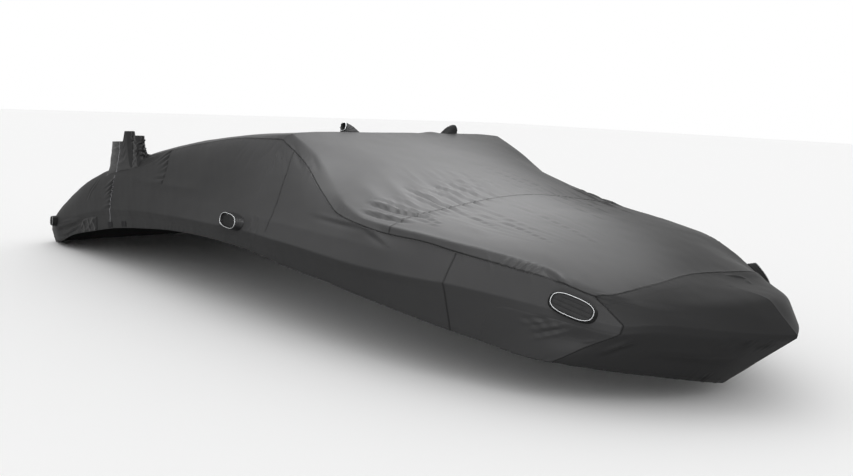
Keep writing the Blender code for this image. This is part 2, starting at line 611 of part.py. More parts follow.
def make_vent(cloth, vent, side):
    """A hooded vent: a short oval wall round a recessed mesh, and piping round its mouth."""
    hand = "stbd" if side < 0 else "port"
    toward = np.array((0, 0, -1.0)) if vent["tilt"] else np.array((0, -side * 1.0, 0))
    centre, out = cloth.land((vent["x"], side * vent["y"], vent["z"]), toward)
    if not vent["tilt"]:
        out = out * (1, 1, 1 - VENT_LEVEL)
    out = out / np.linalg.norm(out)
    fore = np.array((math.cos(math.radians(vent["fall"])), 0, -math.sin(math.radians(vent["fall"]))))
    fore = fore - out * np.dot(fore, out)
    fore /= np.linalg.norm(fore)
    up = np.cross(out, fore) * (1 if side < 0 else -1)
    if vent["tilt"]:
        up = np.cross(fore, out) * -side
    a, b = 0.5 * vent["long"], 0.5 * vent["wide"]
    turns = [2 * math.pi * n / VENT_SIDES for n in range(VENT_SIDES)]
    square = 2 / VENT_SQUARE
    alongs = [math.copysign(abs(math.cos(t)) ** square, math.cos(t)) for t in turns]
    acrosses = [math.copysign(abs(math.sin(t)) ** square, math.sin(t)) for t in turns]

    def oval(n, size, thin=0.0):
        """A point of an oval laid flat on the cloth's level at the vent's centre."""
        return centre + fore * (size * a - thin) * alongs[n] + up * (size * b - thin) * acrosses[n]

    def height(point):
        foot, _ = cloth.land(point, -out)
        return np.dot(foot - centre, out)

    def foot_ring(thin):
        """The foot follows the cloth, and stays clear of it between its points too."""
        flat = [oval(n, 1.0, thin) for n in range(VENT_SIDES)]
        level = [height(point) for point in flat]
        lift = [SEAT_GAP] * VENT_SIDES
        for n in range(VENT_SIDES):
            for share in (0.2, 0.4, 0.6, 0.8):
                between = height(flat[n - 1] * (1 - share) + flat[n] * share)
                over = between - level[n - 1] * (1 - share) - level[n] * share
                lift[n - 1] = max(lift[n - 1], over + SEAT_GAP)
                lift[n] = max(lift[n], over + SEAT_GAP)
        return [point + out * (z + more) for point, z, more in zip(flat, level, lift)]

    def mouth_point(n):
        """Level over a drum; over a scoop it leans out and drops to the cloth on one side."""
        rise = vent["rise"] * (1 - vent["tilt"] * (0.5 + 0.36 * acrosses[n]))
        rise *= 1 - vent["slant"] * 0.5 * (1 - alongs[n])
        lean = vent["tilt"] * HOOD_LEAN * b * (1 - acrosses[n])
        return oval(n, VENT_DRAW_IN) + out * rise + up * lean

    mouth = np.array([mouth_point(n) for n in range(VENT_SIDES)])
    middle = mouth.mean(axis=0)
    quarter = VENT_SIDES // 4
    face_out = np.cross(mouth[0] - middle, mouth[quarter] - middle)
    face_out *= np.sign(np.dot(face_out, out + up)) / np.linalg.norm(face_out)

    def shrink(by, deep):
        """The mouth's oval drawn in by one size and set back by another."""
        reach = np.linalg.norm(mouth - middle, axis=1)[:, None]
        return mouth + (middle - mouth) / reach * by - face_out * deep

    foot = np.array(foot_ring(0.0))
    rings = [shrink(1.5 * VENT_WALL, vent["deep"] + VENT_WALL), foot_ring(VENT_WALL), foot]
    if vent["tilt"]:
        back = 0.5 * (1 - np.array(acrosses))[:, None]
        for step in range(1, HOOD_RINGS + 1):
            share = step / (HOOD_RINGS + 1)
            swell = HOOD_SWELL * math.sin(math.pi * share) * back
            rings.append(foot * (1 - share) + mouth * share + out * swell)
    rings += [mouth, shrink(VENT_WALL, 0.0), shrink(1.4 * VENT_WALL, vent["deep"])]
    loft(f"vent_{vent['name']}_{hand}", "vent", rings)

    curve = bpy.data.curves.new(f"piping_{vent['name']}_{hand}", "CURVE")
    curve.dimensions = "3D"
    curve.bevel_depth = PIPING
    curve.bevel_resolution = 0
    line = curve.splines.new("POLY")
    line.points.add(VENT_SIDES - 1)
    for spot, point in zip(line.points, shrink(0.5 * VENT_WALL, -PIPING - PATCH_GAP)):
        spot.co = (*point, 1.0)
    line.use_cyclic_u = True
    add_object(curve.name, "piping", curve)


def make_patch(cloth, patch, side):
    """A piece sewn flat, or a little full, on the outside of the side panel."""
    low, high = LINES.index(patch["low"]), LINES.index(patch["high"])
    hand = "stbd" if side < 0 else "port"
    triangles = []
    for faces in cloth.panels.values():
        for t in faces:
            if any(k[0] == "stern" or k[1] != side for k in t):
                continue
            stations = [cloth.stations[k[0]] for k in t]
            places = [k[2] for k in t]
            if patch["from"] - 0.01 < min(stations) and max(stations) < patch["to"] + 0.01:
                corner = min(stations) < patch["from"] + 0.01 and sum(places) > 3 * high - 0.5
                if low - 0.01 < min(places) and max(places) < high + 0.01 and not corner:
                    triangles.append(t)

    def bulge(key):
        along = (cloth.stations[key[0]] - patch["from"]) / (patch["to"] - patch["from"])
        across = (key[2] - low) / (high - low)
        return patch["bulge"] * math.sin(math.pi * min(max(along, 0), 1)) * math.sin(math.pi * across)

    shell(f"{patch['name']}_{hand}", "patch", triangles, cloth.points, cloth.normals,
          patch["cloth"], gap=PATCH_GAP, bulge=bulge)


def make_strap(cloth, number, x, side):
    """A short web tab, sewn on across the hem."""
    hand = "stbd" if side < 0 else "port"
    hem = np.array([cloth.points[cloth.key(i, side, 0.0)] for i in range(cloth.last)])
    outer, inner = [], []
    for z_share in (0.12, 0.42, 0.72, 1.0):
        for x_share in (-0.5, 0.5):
            along = x + x_share * STRAP_WIDTH
            hem_z = np.interp(along, hem[:, 0], hem[:, 2])
            spot, normal = cloth.land((along, side * HALF_BEAM, hem_z + z_share * STRAP_LENGTH),
                                      (0, -side, 0))
            inner.append(spot + normal * PATCH_GAP)
            outer.append(spot + normal * (PATCH_GAP + STRAP_CLOTH))
    loft_rings = []
    for n in range(0, len(outer), 2):
        loft_rings.append([outer[n], outer[n + 1], inner[n + 1], inner[n]])
    loft(f"strap_tab_{number}_{hand}", "strap", loft_rings)


pieces = bpy.data.collections.new("boat_cover")
bpy.context.scene.collection.children.link(pieces)
bearing = bpy.data.objects.new("bearing_point", None)
bearing.location = (-CREST_X, 0.0, CLOTH - CREST_Z)
pieces.objects.link(bearing)

cover = Cloth()
for panel_name, panel_faces in cover.panels.items():
    finish = "side" if panel_name.startswith(("side", "stern")) else "top"
    if panel_name == "bow_cap":
        finish = "cap"
    shell(panel_name, finish, panel_faces, cover.points, cover.normals, CLOTH)
for hand_side in (-1, 1):
    for boot_row in BOOTS:
        make_boot(cover, boot_row, hand_side)
    for vent_row in VENTS:
        make_vent(cover, vent_row, hand_side)
    for patch_row in PATCHES:
        make_patch(cover, patch_row, hand_side)
    for tab_number, tab_x in enumerate(STRAP_TABS, start=1):
        make_strap(cover, tab_number, tab_x, hand_side)
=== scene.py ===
# The looks of a fitted boat cover: panels of woven polyester, sewn together and worn taut.
# Lengths are in metres. The tables count x from the stern and z from the rail line, as a
# sailmaker would, and every piece is then moved by coverOrigin into the part's own frame.
import json
import math

import bpy
import numpy as np
from mathutils import Matrix, Vector
from mathutils.bvhtree import BVHTree

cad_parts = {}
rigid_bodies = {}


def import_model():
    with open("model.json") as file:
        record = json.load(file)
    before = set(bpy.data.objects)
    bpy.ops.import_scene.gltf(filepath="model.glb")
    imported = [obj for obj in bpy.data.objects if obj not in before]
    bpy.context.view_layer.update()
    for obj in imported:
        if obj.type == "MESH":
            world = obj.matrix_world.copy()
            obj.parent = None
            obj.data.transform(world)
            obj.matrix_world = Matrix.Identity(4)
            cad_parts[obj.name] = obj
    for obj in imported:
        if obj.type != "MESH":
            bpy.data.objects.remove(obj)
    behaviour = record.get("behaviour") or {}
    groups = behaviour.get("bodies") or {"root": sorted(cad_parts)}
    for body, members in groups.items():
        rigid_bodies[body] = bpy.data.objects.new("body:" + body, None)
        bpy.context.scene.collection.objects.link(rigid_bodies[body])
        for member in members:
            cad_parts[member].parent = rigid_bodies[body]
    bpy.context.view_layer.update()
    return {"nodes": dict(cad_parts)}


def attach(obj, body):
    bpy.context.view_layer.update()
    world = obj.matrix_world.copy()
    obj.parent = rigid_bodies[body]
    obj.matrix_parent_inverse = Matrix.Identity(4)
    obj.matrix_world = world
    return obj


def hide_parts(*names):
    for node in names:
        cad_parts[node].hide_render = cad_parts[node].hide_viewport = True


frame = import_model()
coverOrigin = np.array((-4.02, 0.0, -0.766))
rng = np.random.default_rng(24)
print("the packed part is loaded:", len(frame["nodes"]), "solids")

# the cover's lines, from the hem up to the crown
rail = {
    "halfBeam": 1.30,        # widest half breadth
    "stemX": 7.187,          # foremost point
    "taperX": 3.37,          # starts to draw in here
    "taperPower": 2.83,
    "bowRound": 0.439,
    "band": 0.045,           # height of the band that stands out along the rail line
    "tuck": 0.012,           # the cloth falls back this far under it
    "bandAtStem": 0.35,
    "bendShare": 0.57,
}
seams = {"crest": 8, "cross": 13, "sideJoin": 15, "cap": 18}      # stations of the seams
aftColumns = ("x", "topX", "hemY", "hemZ", "railZ", "bendY", "bendZ", "seamY", "seamZ",
              "ridgeY", "ridgeZ", "middleZ", "crownZ")
aftSections = (
    (0.12, 0.12, 1.190, -0.505, -0.385, 1.220, -0.320, 1.165, -0.265, 1.090, -0.245, -0.240, -0.240),
    (0.45, 0.45, 1.265, -0.455, -0.300, 1.275, -0.190, 1.205, -0.090, 1.110, -0.060, -0.052, -0.050),
    (0.85, 0.85, 1.282, -0.335, -0.185, 1.275, -0.035, 1.195, 0.107, 1.100, 0.142, 0.157, 0.162),
    (1.30, 1.30, 1.284, -0.245, -0.075, 1.270, 0.080, 1.170, 0.270, 1.080, 0.298, 0.320, 0.328),
    (1.80, 1.80, 1.284, -0.155, -0.003, 1.265, 0.140, 1.135, 0.400, 1.030, 0.437, 0.462, 0.472),
    (2.35, 2.35, 1.284, -0.088, 0.045, 1.260, 0.185, 1.105, 0.515, 1.000, 0.557, 0.582, 0.592),
    (2.95, 2.95, 1.284, -0.034, 0.072, 1.255, 0.205, 1.080, 0.620, 0.980, 0.655, 0.676, 0.684),
    (3.50, 3.54, 1.284, -0.017, 0.087, 1.250, 0.215, 1.050, 0.690, 0.965, 0.720, 0.732, 0.736),
    (3.93, 4.02, 1.278, -0.024, 0.096, 1.245, 0.215, 1.000, 0.706, 0.968, 0.751, 0.767, 0.768),
    (4.25, 4.30, 1.270, -0.050, 0.087, 1.235, 0.205, 1.030, 0.578, 0.962, 0.632, 0.688, 0.700),
    (4.55, 4.57, 1.258, -0.078, 0.077, 1.220, 0.195, 1.085, 0.405, 1.008, 0.466, 0.600, 0.633),
    (4.80, 4.80, 1.243, -0.093, 0.062, 1.203, 0.187, 1.132, 0.298, 1.089, 0.362, 0.513, 0.570),
    (5.04, 5.04, 1.223, -0.119, 0.047, 1.183, 0.179, 1.145, 0.264, 1.122, 0.299, 0.435, 0.500),
    (5.27, 5.27, 1.196, -0.146, 0.040, 1.163, 0.168, 1.117, 0.239, 1.097, 0.277, 0.375, 0.432),
    (5.52, 5.52, 1.158, -0.176, 0.039, 1.124, 0.153, 1.083, 0.231, 1.065, 0.262, 0.335, 0.382),
)
bowColumns = ("railX", "railY", "railZ", "hemX", "hemY", "hemZ", "seamX", "seamY", "seamZ",
              "ridgeX", "ridgeY", "ridgeZ", "middleX", "middleY", "middleZ", "crownX", "crownZ")
bowSections = (
    (5.770, 1.133, 0.043, 5.800, 1.090, -0.214, 5.760, 1.035, 0.202,
     5.740, 1.020, 0.242, 5.755, 0.590, 0.305, 5.770, 0.340),
    (6.080, 1.050, 0.027, 6.025, 1.015, -0.247, 6.040, 0.965, 0.170,
     6.020, 0.933, 0.213, 6.020, 0.540, 0.265, 6.020, 0.285),
    (6.400, 0.915, -0.008, 6.190, 0.960, -0.275, 6.325, 0.865, 0.128,
     6.300, 0.825, 0.161, 6.320, 0.490, 0.193, 6.290, 0.210),
    (6.674, 0.742, -0.050, 6.345, 0.880, -0.292, 6.515, 0.775, 0.070,
     6.575, 0.705, 0.083, 6.610, 0.450, 0.112, 6.550, 0.122),
    (6.800, 0.605, -0.036, 6.575, 0.640, -0.326, 6.742, 0.580, 0.026,
     6.705, 0.545, 0.050, 6.695, 0.330, 0.090, 6.665, 0.109),
    (6.920, 0.437, -0.052, 6.705, 0.440, -0.353, 6.888, 0.430, 0.008,
     6.850, 0.415, 0.037, 6.800, 0.235, 0.078, 6.740, 0.101),
    (7.020, 0.292, -0.066, 6.770, 0.265, -0.381, 6.988, 0.280, -0.001,
     6.945, 0.265, 0.046, 6.870, 0.135, 0.080, 6.770, 0.098),
    (7.115, 0.145, -0.077, 6.790, 0.120, -0.408, 7.060, 0.135, -0.001,
     6.985, 0.120, 0.060, 6.900, 0.060, 0.084, 6.782, 0.096),
    (7.187, 0.000, -0.085, 6.795, 0.000, -0.428, 7.095, 0.000, -0.003,
     7.000, 0.000, 0.073, 6.912, 0.000, 0.087, 6.786, 0.095),
)
lineNames = ("hem", "under", "rail", "bend", "seam", "ridge", "middle", "crown")
creasedLines = ("seam", "ridge", "middle", "crown")
railPlace, seamPlace, crownPlace = (lineNames.index(name) for name in ("rail", "seam", "crown"))
portHem = 2 * crownPlace       # places run from 0 at the starboard hem to this at the port hem
mesh = {
    # runs along the cover: from station, to station, distance between the cloth's points
    "stationRuns": ((0, 2.43, 0.013), (2.43, 3.24, 0.012), (3.24, 4.18, 0.011), (4.18, 4.42, 0.010),
                    (4.42, 8, 0.012), (8, 13, 0.009), (13, 15, 0.0085), (15, 18, 0.008),
                    (18, 21, 0.008), (21, 23, 0.008)),
    # cells from each line up to the next
    "placeCells": (12, 6, 12, 36, 10, 30, 36),
    "nearSeam": (0.0035, 0.0075, 0.012),     # extra points this far from a cross seam
    "closest": 0.0016,
    "nearSideSeam": (-0.07, -0.04, -0.02, -0.012, -0.006, 0.03, 0.06, 0.15, 0.25),
}
# soft ridges in plan: start, end, half width, height
foldColumns = ("x0", "y0", "x1", "y1", "width", "height")
foldShape = {"height": 0.5, "width": 0.85, "above": 0.2}      # height and width kept, and from which z up
folds = (
    (4.60, -0.88, 5.14, -0.99, 0.050, 0.018),
    (4.66, -0.72, 5.20, -0.84, 0.050, 0.020),
    (4.72, -0.56, 5.22, -0.69, 0.050, 0.018),
    (4.76, -0.40, 5.24, -0.53, 0.048, 0.015),
    (4.82, -0.25, 5.24, -0.37, 0.046, 0.011),
    (4.88, -0.10, 5.24, -0.20, 0.045, 0.007),
    (5.34, -0.78, 5.80, -0.80, 0.055, 0.008),
    (5.34, -0.58, 5.90, -0.62, 0.055, 0.006),
)
# hollows pressed into the cloth: centre, reach along and across, depth; a negative depth is a swell
dimpleColumns = ("x", "y", "z", "along", "across", "depth")
dimples = (
    (6.44, -0.84, -0.150, 0.16, 0.06, 0.022),
    (6.46, 0.84, -0.150, 0.14, 0.06, 0.018),
    (0.55, -1.27, -0.330, 0.22, 0.04, 0.014),
    (0.80, 1.28, -0.250, 0.25, 0.04, 0.012),
    (2.10, 0.05, 0.560, 0.70, 0.60, 0.020),
    (1.20, -0.30, 0.300, 0.50, 0.40, 0.012),
    (3.99, 0.27, 0.766, 0.07, 0.07, -0.012),
    (6.47, 0.73, 0.100, 0.30, 0.17, 0.036),
)


def smoothCurve(knots, values, at):
    steps = np.diff(knots)[:, None]
    rises = np.diff(values, axis=0) / steps
    slopes = np.empty_like(values)
    slopes[0], slopes[-1] = rises[0], rises[-1]
    before, after = rises[:-1], rises[1:]
    weightA = 2 * steps[1:] + steps[:-1]
    weightB = steps[1:] + 2 * steps[:-1]
    same = before * after > 0
    mean = (weightA + weightB) / (weightA / np.where(same, before, 1) + weightB / np.where(same, after, 1))
    slopes[1:-1] = np.where(same, mean, 0.0)
    span = np.clip(np.searchsorted(knots, at, side="right") - 1, 0, len(knots) - 2)
    step = steps[span]
    s = (at - knots[span])[:, None] / step
    return ((1 + 2 * s) * (1 - s) ** 2 * values[span] + s * (1 - s) ** 2 * step * slopes[span]
            + s ** 2 * (3 - 2 * s) * values[span + 1] + s ** 2 * (s - 1) * step * slopes[span + 1])


def beamAt(x):
    share = min(max((x - rail["taperX"]) / (rail["stemX"] - rail["taperX"]), 0.0), 1.0)
    return rail["halfBeam"] * (1 - share ** rail["taperPower"]) ** rail["bowRound"]


def sectionPoints():
    found = []
    for row in aftSections:
        s = dict(zip(aftColumns, row))
        railY = min(beamAt(s["x"]), s["hemY"] + 0.035)
        found.append(((s["x"], s["hemY"], s["hemZ"]),
                      (s["x"], railY - rail["tuck"], s["railZ"] - rail["band"]),
                      (s["x"], railY, s["railZ"]), (s["x"], s["bendY"], s["bendZ"]),
                      (s["x"], s["seamY"], s["seamZ"]), (s["topX"], s["ridgeY"], s["ridgeZ"]),
                      (s["topX"], 0.6 * s["ridgeY"], s["middleZ"]), (s["topX"], 0.0, s["crownZ"])))
    for row in bowSections:
        s = dict(zip(bowColumns, row))
        atRail = np.array((s["railX"], s["railY"], s["railZ"]))
        atSeam = np.array((s["seamX"], s["seamY"], s["seamZ"]))
        atHem = np.array((s["hemX"], s["hemY"], s["hemZ"]))
        inward = (atHem - atRail) * (1, 1, 0)
        share = min(rail["bandAtStem"] + 2.0 * s["railY"], 1.0)
        tucked = inward * (rail["tuck"] / np.linalg.norm(inward))
        found.append((atHem, atRail + share * (tucked - (0, 0, rail["band"])), atRail,
                      atRail + rail["bendShare"] * (atSeam - atRail), atSeam,
                      (s["ridgeX"], s["ridgeY"], s["ridgeZ"]), (s["middleX"], s["middleY"], s["middleZ"]),
                      (s["crownX"], 0.0, s["crownZ"])))
    return np.array(found)


def stationList(knots):
    numbers = np.arange(len(knots))
    places = []
    for start, end, spacing in mesh["stationRuns"]:
        a, b = np.interp((start, end), numbers, knots)
        places += list(np.linspace(a, b, max(2, round((b - a) / spacing)) + 1)[:-1])
    places.append(knots[-1])
    for station in (seams["crest"], seams["cross"], seams["sideJoin"], seams["cap"]):
        for off in mesh["nearSeam"]:
            for extra in (knots[station] - off, knots[station] + off):
                near = [n for n, p in enumerate(places)
                        if abs(p - extra) < mesh["closest"] and abs(p - knots[station]) > 1e-6]
                for n in reversed(near):
                    places.pop(n)
                places.append(extra)
    return np.interp(np.sort(places), knots, numbers)


def placeList():
    places = [n + i / cells for n, cells in enumerate(mesh["placeCells"]) for i in range(cells)]
    places += [seamPlace + off for off in mesh["nearSideSeam"]]
    return np.unique(np.round(places + [len(lineNames) - 1.0], 5))


def runLines(sections, knots, stations):
    at = np.interp(stations, np.arange(len(knots)), knots)
    aft = stations <= seams["crest"]
    runs = []
    for number, line in enumerate(lineNames):
        points = sections[:, number]
        if line in creasedLines:
            run = np.empty((len(stations), 3))
            cut = seams["crest"] + 1
            run[aft] = smoothCurve(knots[:cut], points[:cut], at[aft])
            run[~aft] = smoothCurve(knots[cut - 1:], points[cut - 1:], at[~aft])
        else:
            run = smoothCurve(knots, points, at)
        runs.append(run)
    return np.array(runs).transpose(1, 0, 2)


def halfSection(points, places):
    upper = points[railPlace:]
    steps = np.linalg.norm(np.diff(upper, axis=0), axis=1)
    knots = np.concatenate(([0.0], np.cumsum(steps), [steps.sum() + steps[-1]]))
    beyond = points[-2] * (1, -1, 1)
    if abs(points[-2][1]) < 1e-6:
        beyond = 2 * points[-1] - points[-2]
    at = np.interp(np.maximum(places - railPlace, 0), np.arange(len(knots)), knots)
    curve = smoothCurve(knots, np.vstack((upper, beyond)), at)
    for axis in range(3):
        straight = np.interp(places, np.arange(len(points)), points[:, axis])
        curve[:, axis] = np.where(places < railPlace, straight, curve[:, axis])
    return curve


def gridNormals(grid):
    along = np.gradient(grid, axis=0)
    across = np.gradient(grid, axis=1)
    across[-1] = across[-2]
    normal = np.cross(along, across)
    normal /= np.maximum(np.linalg.norm(normal, axis=2, keepdims=True), 1e-12)
    stem = normal[-1] * (1, 0, 1)                 # the stem is a fold in the middle plane
    normal[-1] = stem / np.maximum(np.linalg.norm(stem, axis=1, keepdims=True), 1e-12)
    return normal


def mainFolds(p):
    lift = np.zeros(p.shape[:2])
    for row in folds:
        f = dict(zip(foldColumns, row))
        dx, dy = f["x1"] - f["x0"], f["y1"] - f["y0"]
        length = math.hypot(dx, dy)
        share = ((p[..., 0] - f["x0"]) * dx + (p[..., 1] - f["y0"]) * dy) / length ** 2
        off = ((p[..., 1] - f["y0"]) * dx - (p[..., 0] - f["x0"]) * dy) / length
        on = (p[..., 2] > foldShape["above"]) & (share > 0) & (share < 1)
        swell = np.sin(math.pi * np.clip(share, 0, 1) ** 1.5) ** 0.9
        across = np.exp(-(off / (foldShape["width"] * f["width"])) ** 2)
        lift += np.where(on, foldShape["height"] * f["height"] * swell * across, 0)
    for row in dimples:
        d = dict(zip(dimpleColumns, row))
        flat = np.hypot(p[..., 1] - d["y"], p[..., 2] - d["z"]) / d["across"]
        lift -= d["depth"] * np.exp(-np.hypot((p[..., 0] - d["x"]) / d["along"], flat) ** 2)
    return lift


sections = sectionPoints()
railSteps = np.linalg.norm(np.diff(sections[:, 2], axis=0), axis=1)
railKnots = np.concatenate(([0.0], np.cumsum(railSteps)))
stations = stationList(railKnots)
places = placeList()
lines = runLines(sections, railKnots, stations)
half = np.array([halfSection(row, places) for row in lines])
# one grid: stations stern to stem, then starboard hem, up over the crown, down to the port hem
cloth = np.concatenate((half * (1, -1, 1), half[:, -2::-1]), axis=1)
column = np.concatenate((places, portHem - places[-2::-1]))
place = np.minimum(column, portHem - column)
side = np.where(column <= crownPlace, -1, 1)       # starboard, port
lift = mainFolds(cloth)
lift[-1] = 0.0
cloth = cloth + gridNormals(cloth) * lift[..., None]
print("the cloth has", cloth.shape[0], "by", cloth.shape[1], "points")


# creases, puckers and seams
# A field of the cloth's grid, read between its points.
def gridAt(field, atStations, atColumns):
    i = np.interp(atStations, stations, np.arange(len(stations)))
    j = np.interp(atColumns, column, np.arange(len(column)))
    i0 = np.clip(i.astype(int), 0, len(stations) - 2)
    j0 = np.clip(j.astype(int), 0, len(column) - 2)
    s, t = (i - i0)[..., None], (j - j0)[..., None]
    return ((1 - s) * (1 - t) * field[i0, j0] + s * (1 - t) * field[i0 + 1, j0]
            + (1 - s) * t * field[i0, j0 + 1] + s * t * field[i0 + 1, j0 + 1])


# Distances over the cloth from its first row (axis 0) or its first column (axis 1).
def runsAlong(grid, axis):
    steps = np.linalg.norm(np.diff(grid, axis=axis), axis=2)
    return np.cumsum(np.insert(steps, 0, 0.0, axis=axis), axis=axis)


# Points near a line: which they are, how far along it (0 to 1), and how far to its left.
def besideLine(points, normals, line, reach):
    line = np.array(line, float)
    near = np.all((points > line.min(axis=0) - reach) & (points < line.max(axis=0) + reach), axis=1)
    p, n = points[near], normals[near]
    steps = np.linalg.norm(np.diff(line, axis=0), axis=1)
    runs = np.concatenate(([0.0], np.cumsum(steps))) / steps.sum()
    best = np.full(len(p), 1e9)
    left = np.zeros(len(p))
    share = np.zeros(len(p))
    for k, (a, b) in enumerate(zip(line, line[1:])):
        way = b - a
        t = np.clip((p - a) @ way / (way @ way), 0, 1)
        off = p - a - t[:, None] * way
        off -= n * np.sum(off * n, axis=1, keepdims=True)
        far = np.linalg.norm(off, axis=1)
        closer = far < best
        best = np.where(closer, far, best)
        left = np.where(closer, np.sign(np.sum(np.cross(n, way) * (p - a), axis=1)), left)
        share = np.where(closer, runs[k] + t * (runs[k + 1] - runs[k]), share)
    return near, share, left * best


# A crease along a line: a ridge, a trough, or a fold that is high on the line's left.
def creaseLift(points, normals, line, width, height, form):
    near, share, away = besideLine(points, normals, line, 3 * width + 0.03)
    u = away / width
    swell = np.sin(math.pi * np.clip(share, 0.02, 0.98)) ** 0.6
    profile = {"ridge": np.exp(-u ** 2), "trough": -np.exp(-u ** 2), "fold": 2.33 * u * np.exp(-u ** 2),
               "edge": np.exp(-np.sqrt(u ** 2 + 0.01))}[form]
    lift = np.zeros(len(points))
    lift[near] = height * swell * profile
    return lift


# A seam sewn along a line: its lift, with puckers beside it, and the distance from it.
def sewnLine(points, normals, row):
    line = np.array(row["line"], float)
    near, share, away = besideLine(points, normals, line, 0.2)
    length = np.linalg.norm(np.diff(line, axis=0), axis=1).sum()
    ends = np.clip(np.minimum(share, 1 - share) / 0.02, 0, 1)
    shift = np.zeros(len(away))
    spot = 0.0
    while spot < length:
        spot += row["pitch"] * rng.uniform(0.8, 1.25)
        reach = row["reach"] * rng.uniform(0.6, 1.25)
        width = row["width"] * rng.uniform(0.8, 1.2)
        height = row["height"] * rng.uniform(0.6, 1.15)
        beside = np.where(away * row["beside"] > -0.004, np.abs(away) / reach, 9.0)
        slant = row.get("slant", 0.0) * np.abs(away)
        u = (share * length - spot - slant) / width
        swell = 0.8 * np.exp(-u ** 2) - np.exp(-(1.6 * (u - 1.3)) ** 2)
        shift += height * swell * np.exp(-beside ** 2) * (beside < 3)
    shift -= row["groove"] * np.exp(-(away / 0.004) ** 2)
    lift, far = np.zeros(len(points)), np.ones(len(points))
    lift[near] = shift * ends
    far[near] = np.where(ends > 0, np.abs(away), 1.0)
    return lift, far


# Uneven little folds that run across a seam, in metres along it and across it.
def puckerLift(along, across, length, style):
    lift = np.zeros(along.shape)
    near = np.abs(across) < 3 * style["reach"]
    s, d = along[near], across[near]
    total = np.zeros(s.shape)
    spot = 0.0
    while spot < length:
        spot += style["pitch"] * rng.uniform(0.6, 1.5)
        width = style["width"] * rng.uniform(0.75, 1.3)
        reach = style["reach"] * rng.uniform(0.4, 1.3)
        slant = style["slant"] + rng.uniform(-0.35, 0.35)
        height = style["height"] * rng.uniform(-0.45, 1.0)
        close = np.abs(s - spot - slant * d) < 3 * width
        u = (s[close] - spot - slant * d[close]) / width
        total[close] += height * np.exp(-u ** 2) * np.exp(-(d[close] / reach) ** 2)
    lift[near] = total
    return lift


